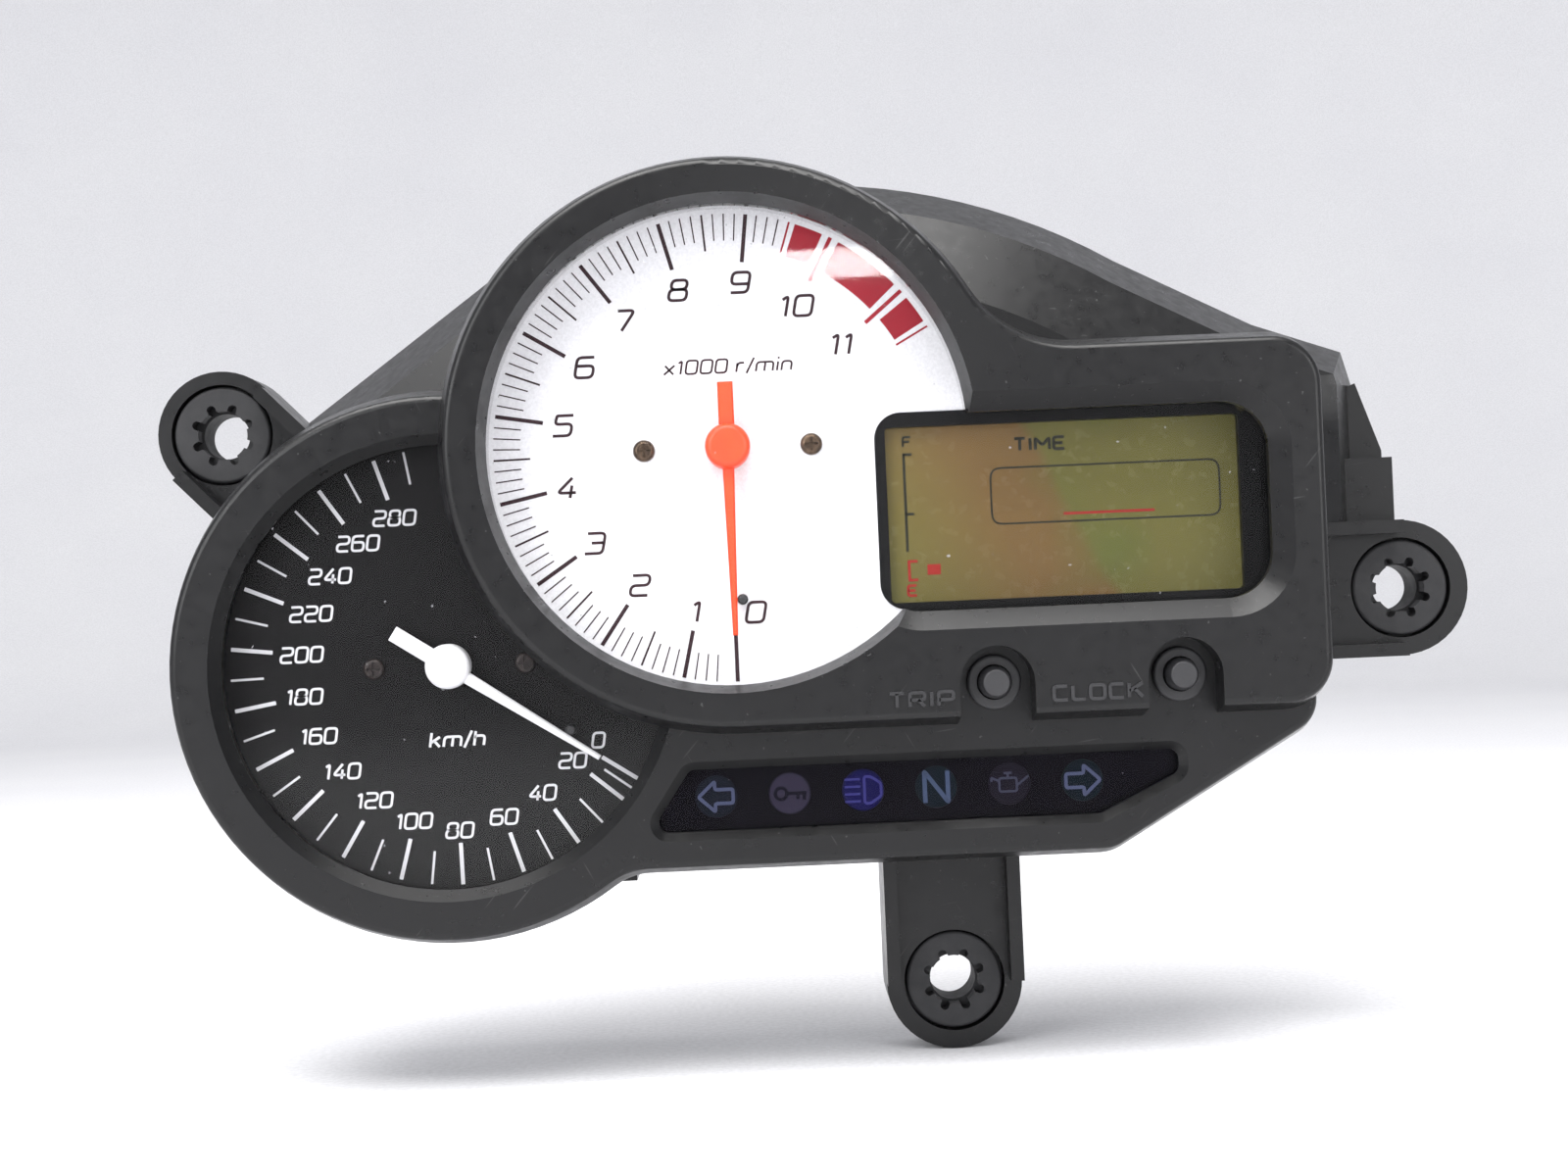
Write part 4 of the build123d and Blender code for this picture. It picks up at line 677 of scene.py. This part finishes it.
# warning lamps: six symbols over their filters, places in mm from each lamp's centre
LAMP_COUNT = 6
LAMP_PITCH = 15.9
DISC_R = 4.3
SYMBOL_CORNER = 0.5       # radius at the corners of a symbol's lines
ARROW = [
    (-3.9, 0), (-0.3, 3.3), (-0.3, 1.5), (3.6, 1.5),
    (3.6, -1.5), (-0.3, -1.5), (-0.3, -3.3), (-3.9, 0),
]
ARROW_WIDTH = 0.75
KEY_BIT = [
    ([(-0.5, 0), (3.6, 0)], 0.75, False),
    ([(3.1, -0.3), (3.1, -1.5)], 0.7, False),
    ([(1.7, -0.3), (1.7, -1.3)], 0.7, False),
]
HEADLAMP = [
    (0.3, 2.9), (1.6, 2.9), (3.9, 1.4), (3.9, -1.4), (1.6, -2.9), (0.3, -2.9), (0.3, 2.9)
]
HIGH_BEAM = [([(-4.0, z), (-0.6, z)], 0.5, False) for z in (-2.4, -0.8, 0.8, 2.4)]
HIGH_BEAM.append((HEADLAMP, 0.6, True))
NEUTRAL = [([(-2.5, -3.4), (-2.5, 3.4), (2.5, -3.4), (2.5, 3.4)], 0.95, False)]
OIL_CAN = [
    ([(-2.2, 1.2), (1.6, 1.2), (1.6, -1.7), (-2.2, -1.7), (-2.2, 1.2)], 0.5, True),
    ([(1.7, -0.4), (4.2, 1.5)], 0.5, False),
    ([(-2.3, 0.6), (-3.9, 1.4), (-3.9, 0.5)], 0.5, False),
    ([(-0.3, 1.3), (-0.3, 2.2)], 0.5, False),
    ([(-1.2, 2.3), (0.6, 2.3)], 0.5, False),
]
low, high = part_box("lamp_filters")
margin = ((high.x - low.x) / MM - (LAMP_COUNT - 1) * LAMP_PITCH) / 2
lamps = [
    Vector((low.x + (margin + i * LAMP_PITCH) * MM, 0.0, (low.z + high.z) / 2))
    for i in range(LAMP_COUNT)
]


def key_bow(art):
    """The round grip of the key."""
    art.ring((-1.9, 0.0), 1.25, 0.75, 28)


def symbol(i, lines, colour, disc=None, extra=None):
    """One lamp's symbol as line work, over a coloured disc where it has one."""
    if disc:
        spot = Print(lamps[i], MASK_FACE)
        spot.disc(DISC_R)
        spot.make(f"lamp_disc_{i + 1}", disc)
    art = Print(lamps[i], MASK_FACE - 2 * INK * MM)
    for path, width, closed in lines:
        art.line(path if len(path) == 2 else rounded(path, SYMBOL_CORNER, closed), width, closed)
    if extra:
        extra(art)
    art.make(f"lamp_symbol_{i + 1}", colour)


PALE = ink("symbol_pale", srgb(158, 180, 190))
KEY = ink("symbol_key", srgb(34, 34, 38))
BLUE = ink("symbol_blue", srgb(116, 120, 210))
GREEN = ink("symbol_green", srgb(142, 176, 186))
GREY = ink("symbol_grey", srgb(122, 132, 136))
GREY_DISC = ink("disc_grey", srgb(104, 102, 108))
BLUE_DISC = ink("disc_blue", srgb(28, 30, 116))
GREEN_DISC = ink("disc_green", srgb(12, 48, 44))
symbol(0, [(ARROW, ARROW_WIDTH, True)], PALE)
symbol(1, KEY_BIT, KEY, GREY_DISC, key_bow)
symbol(2, HIGH_BEAM, BLUE, BLUE_DISC)
symbol(3, NEUTRAL, GREEN, GREEN_DISC)
symbol(4, OIL_CAN, GREY)
symbol(5, [([(-x, z) for x, z in reversed(ARROW)], ARROW_WIDTH, True)], PALE, GREEN_DISC)


# ---------------------------------------------------------------- stage, lights and camera
FLOOR_R = 1.5             # the flat part, in metres, as the next four
FLOOR_MIDDLE = 0.6        # a ring of points within it
FLOOR_BEND = 0.7          # radius of the curve up into the wall
WALL_TOP = 2.2
FLOOR_GAP = 0.0002        # below the part
FLOOR_STEPS = 72          # round the floor


def studio_floor():
    """A pale floor that curves up into a wall all round."""
    profile = [(0.0, 0.0), (FLOOR_MIDDLE, 0.0), (FLOOR_R, 0.0)]
    for degrees in range(10, 91, 10):
        a = math.radians(degrees)
        profile.append((FLOOR_R + FLOOR_BEND * math.sin(a), FLOOR_BEND - FLOOR_BEND * math.cos(a)))
    profile.append((FLOOR_R + FLOOR_BEND, WALL_TOP))
    steps = FLOOR_STEPS
    base = cad_box[0].z - FLOOR_GAP
    points, faces = [(TACHO.x, 0.0, base)], []
    for r, z in profile[1:]:
        for k in range(steps):
            a = 2 * math.pi * k / steps
            points.append((TACHO.x + r * math.cos(a), r * math.sin(a), base + z))
    for k in range(steps):
        faces.append((0, 1 + k, 1 + (k + 1) % steps))
    for row in range(len(profile) - 2):
        for k in range(steps):
            a, b = 1 + row * steps + k, 1 + row * steps + (k + 1) % steps
            faces.append((a, a + steps, b + steps, b))
    mesh = bpy.data.meshes.new("studio_floor")
    mesh.from_pydata(points, [], faces)
    mesh.polygons.foreach_set("use_smooth", [True] * len(faces))
    floor = bpy.data.objects.new("studio_floor", mesh)
    bpy.context.scene.collection.objects.link(floor)
    mesh.materials.append(plastic(
        "floor_paper", srgb(228, 228, 230), srgb(224, 224, 227), (0.6, 0.75), 700.0, 0.02, 6.0,
        specular=0.2,
    ))


def area_light(name, place, target, size, power, colour=(1.0, 1.0, 1.0)):
    """A rectangular lamp that looks at a target; metres and watts."""
    light = bpy.data.lights.new(name, "AREA")
    light.shape = "RECTANGLE"
    light.size, light.size_y = size
    light.energy = power
    light.color = colour
    lamp = bpy.data.objects.new(name, light)
    lamp.location = place
    lamp.rotation_mode = "QUATERNION"
    lamp.rotation_quaternion = (Vector(target) - Vector(place)).to_track_quat("-Z", "Y")
    bpy.context.scene.collection.objects.link(lamp)


studio_floor()
area_light("overhead", (-0.15, -0.35, 1.05), (-0.04, 0.0, 0.1), (1.1, 0.8), 28.0, (1.0, 0.99, 0.98))
area_light("left_front", (-0.9, -1.0, 0.55), (-0.05, 0.0, 0.08), (0.8, 0.8), 11.0, (0.98, 0.99, 1.0))
area_light("right_front", (0.8, -1.1, 0.35), (-0.02, 0.0, 0.08), (0.6, 0.6), 5.5)
area_light("streak", (0.021, -0.738, 0.265), (-0.02, 0.0, 0.16), (0.088, 0.015), 0.2)
world = bpy.data.worlds.new("studio")
bpy.context.scene.world = world
world.use_nodes = True
background = world.node_tree.nodes["Background"]
background.inputs["Color"].default_value = (0.97, 0.98, 1.0, 1.0)
background.inputs["Strength"].default_value = 0.75

CAMERA_OFFSET = Vector((2.35, -505.0, -31.9))    # mm from the tachometer's axis at y = 0
CAMERA_TURN = (90.084, 2.5, -1.031)              # degrees
CAMERA_LENS = 50.06                              # mm, on a sensor 36 mm wide
lens = bpy.data.cameras.new("camera")
lens.lens = CAMERA_LENS
lens.sensor_width = 36.0
camera = bpy.data.objects.new("camera", lens)
camera.location = Vector((TACHO.x, 0.0, TACHO.z)) + CAMERA_OFFSET * MM
camera.rotation_euler = [math.radians(a) for a in CAMERA_TURN]
bpy.context.scene.collection.objects.link(camera)
bpy.context.scene.camera = camera
bpy.context.scene.view_settings.view_transform = "Standard"

bpy.context.view_layer.update()
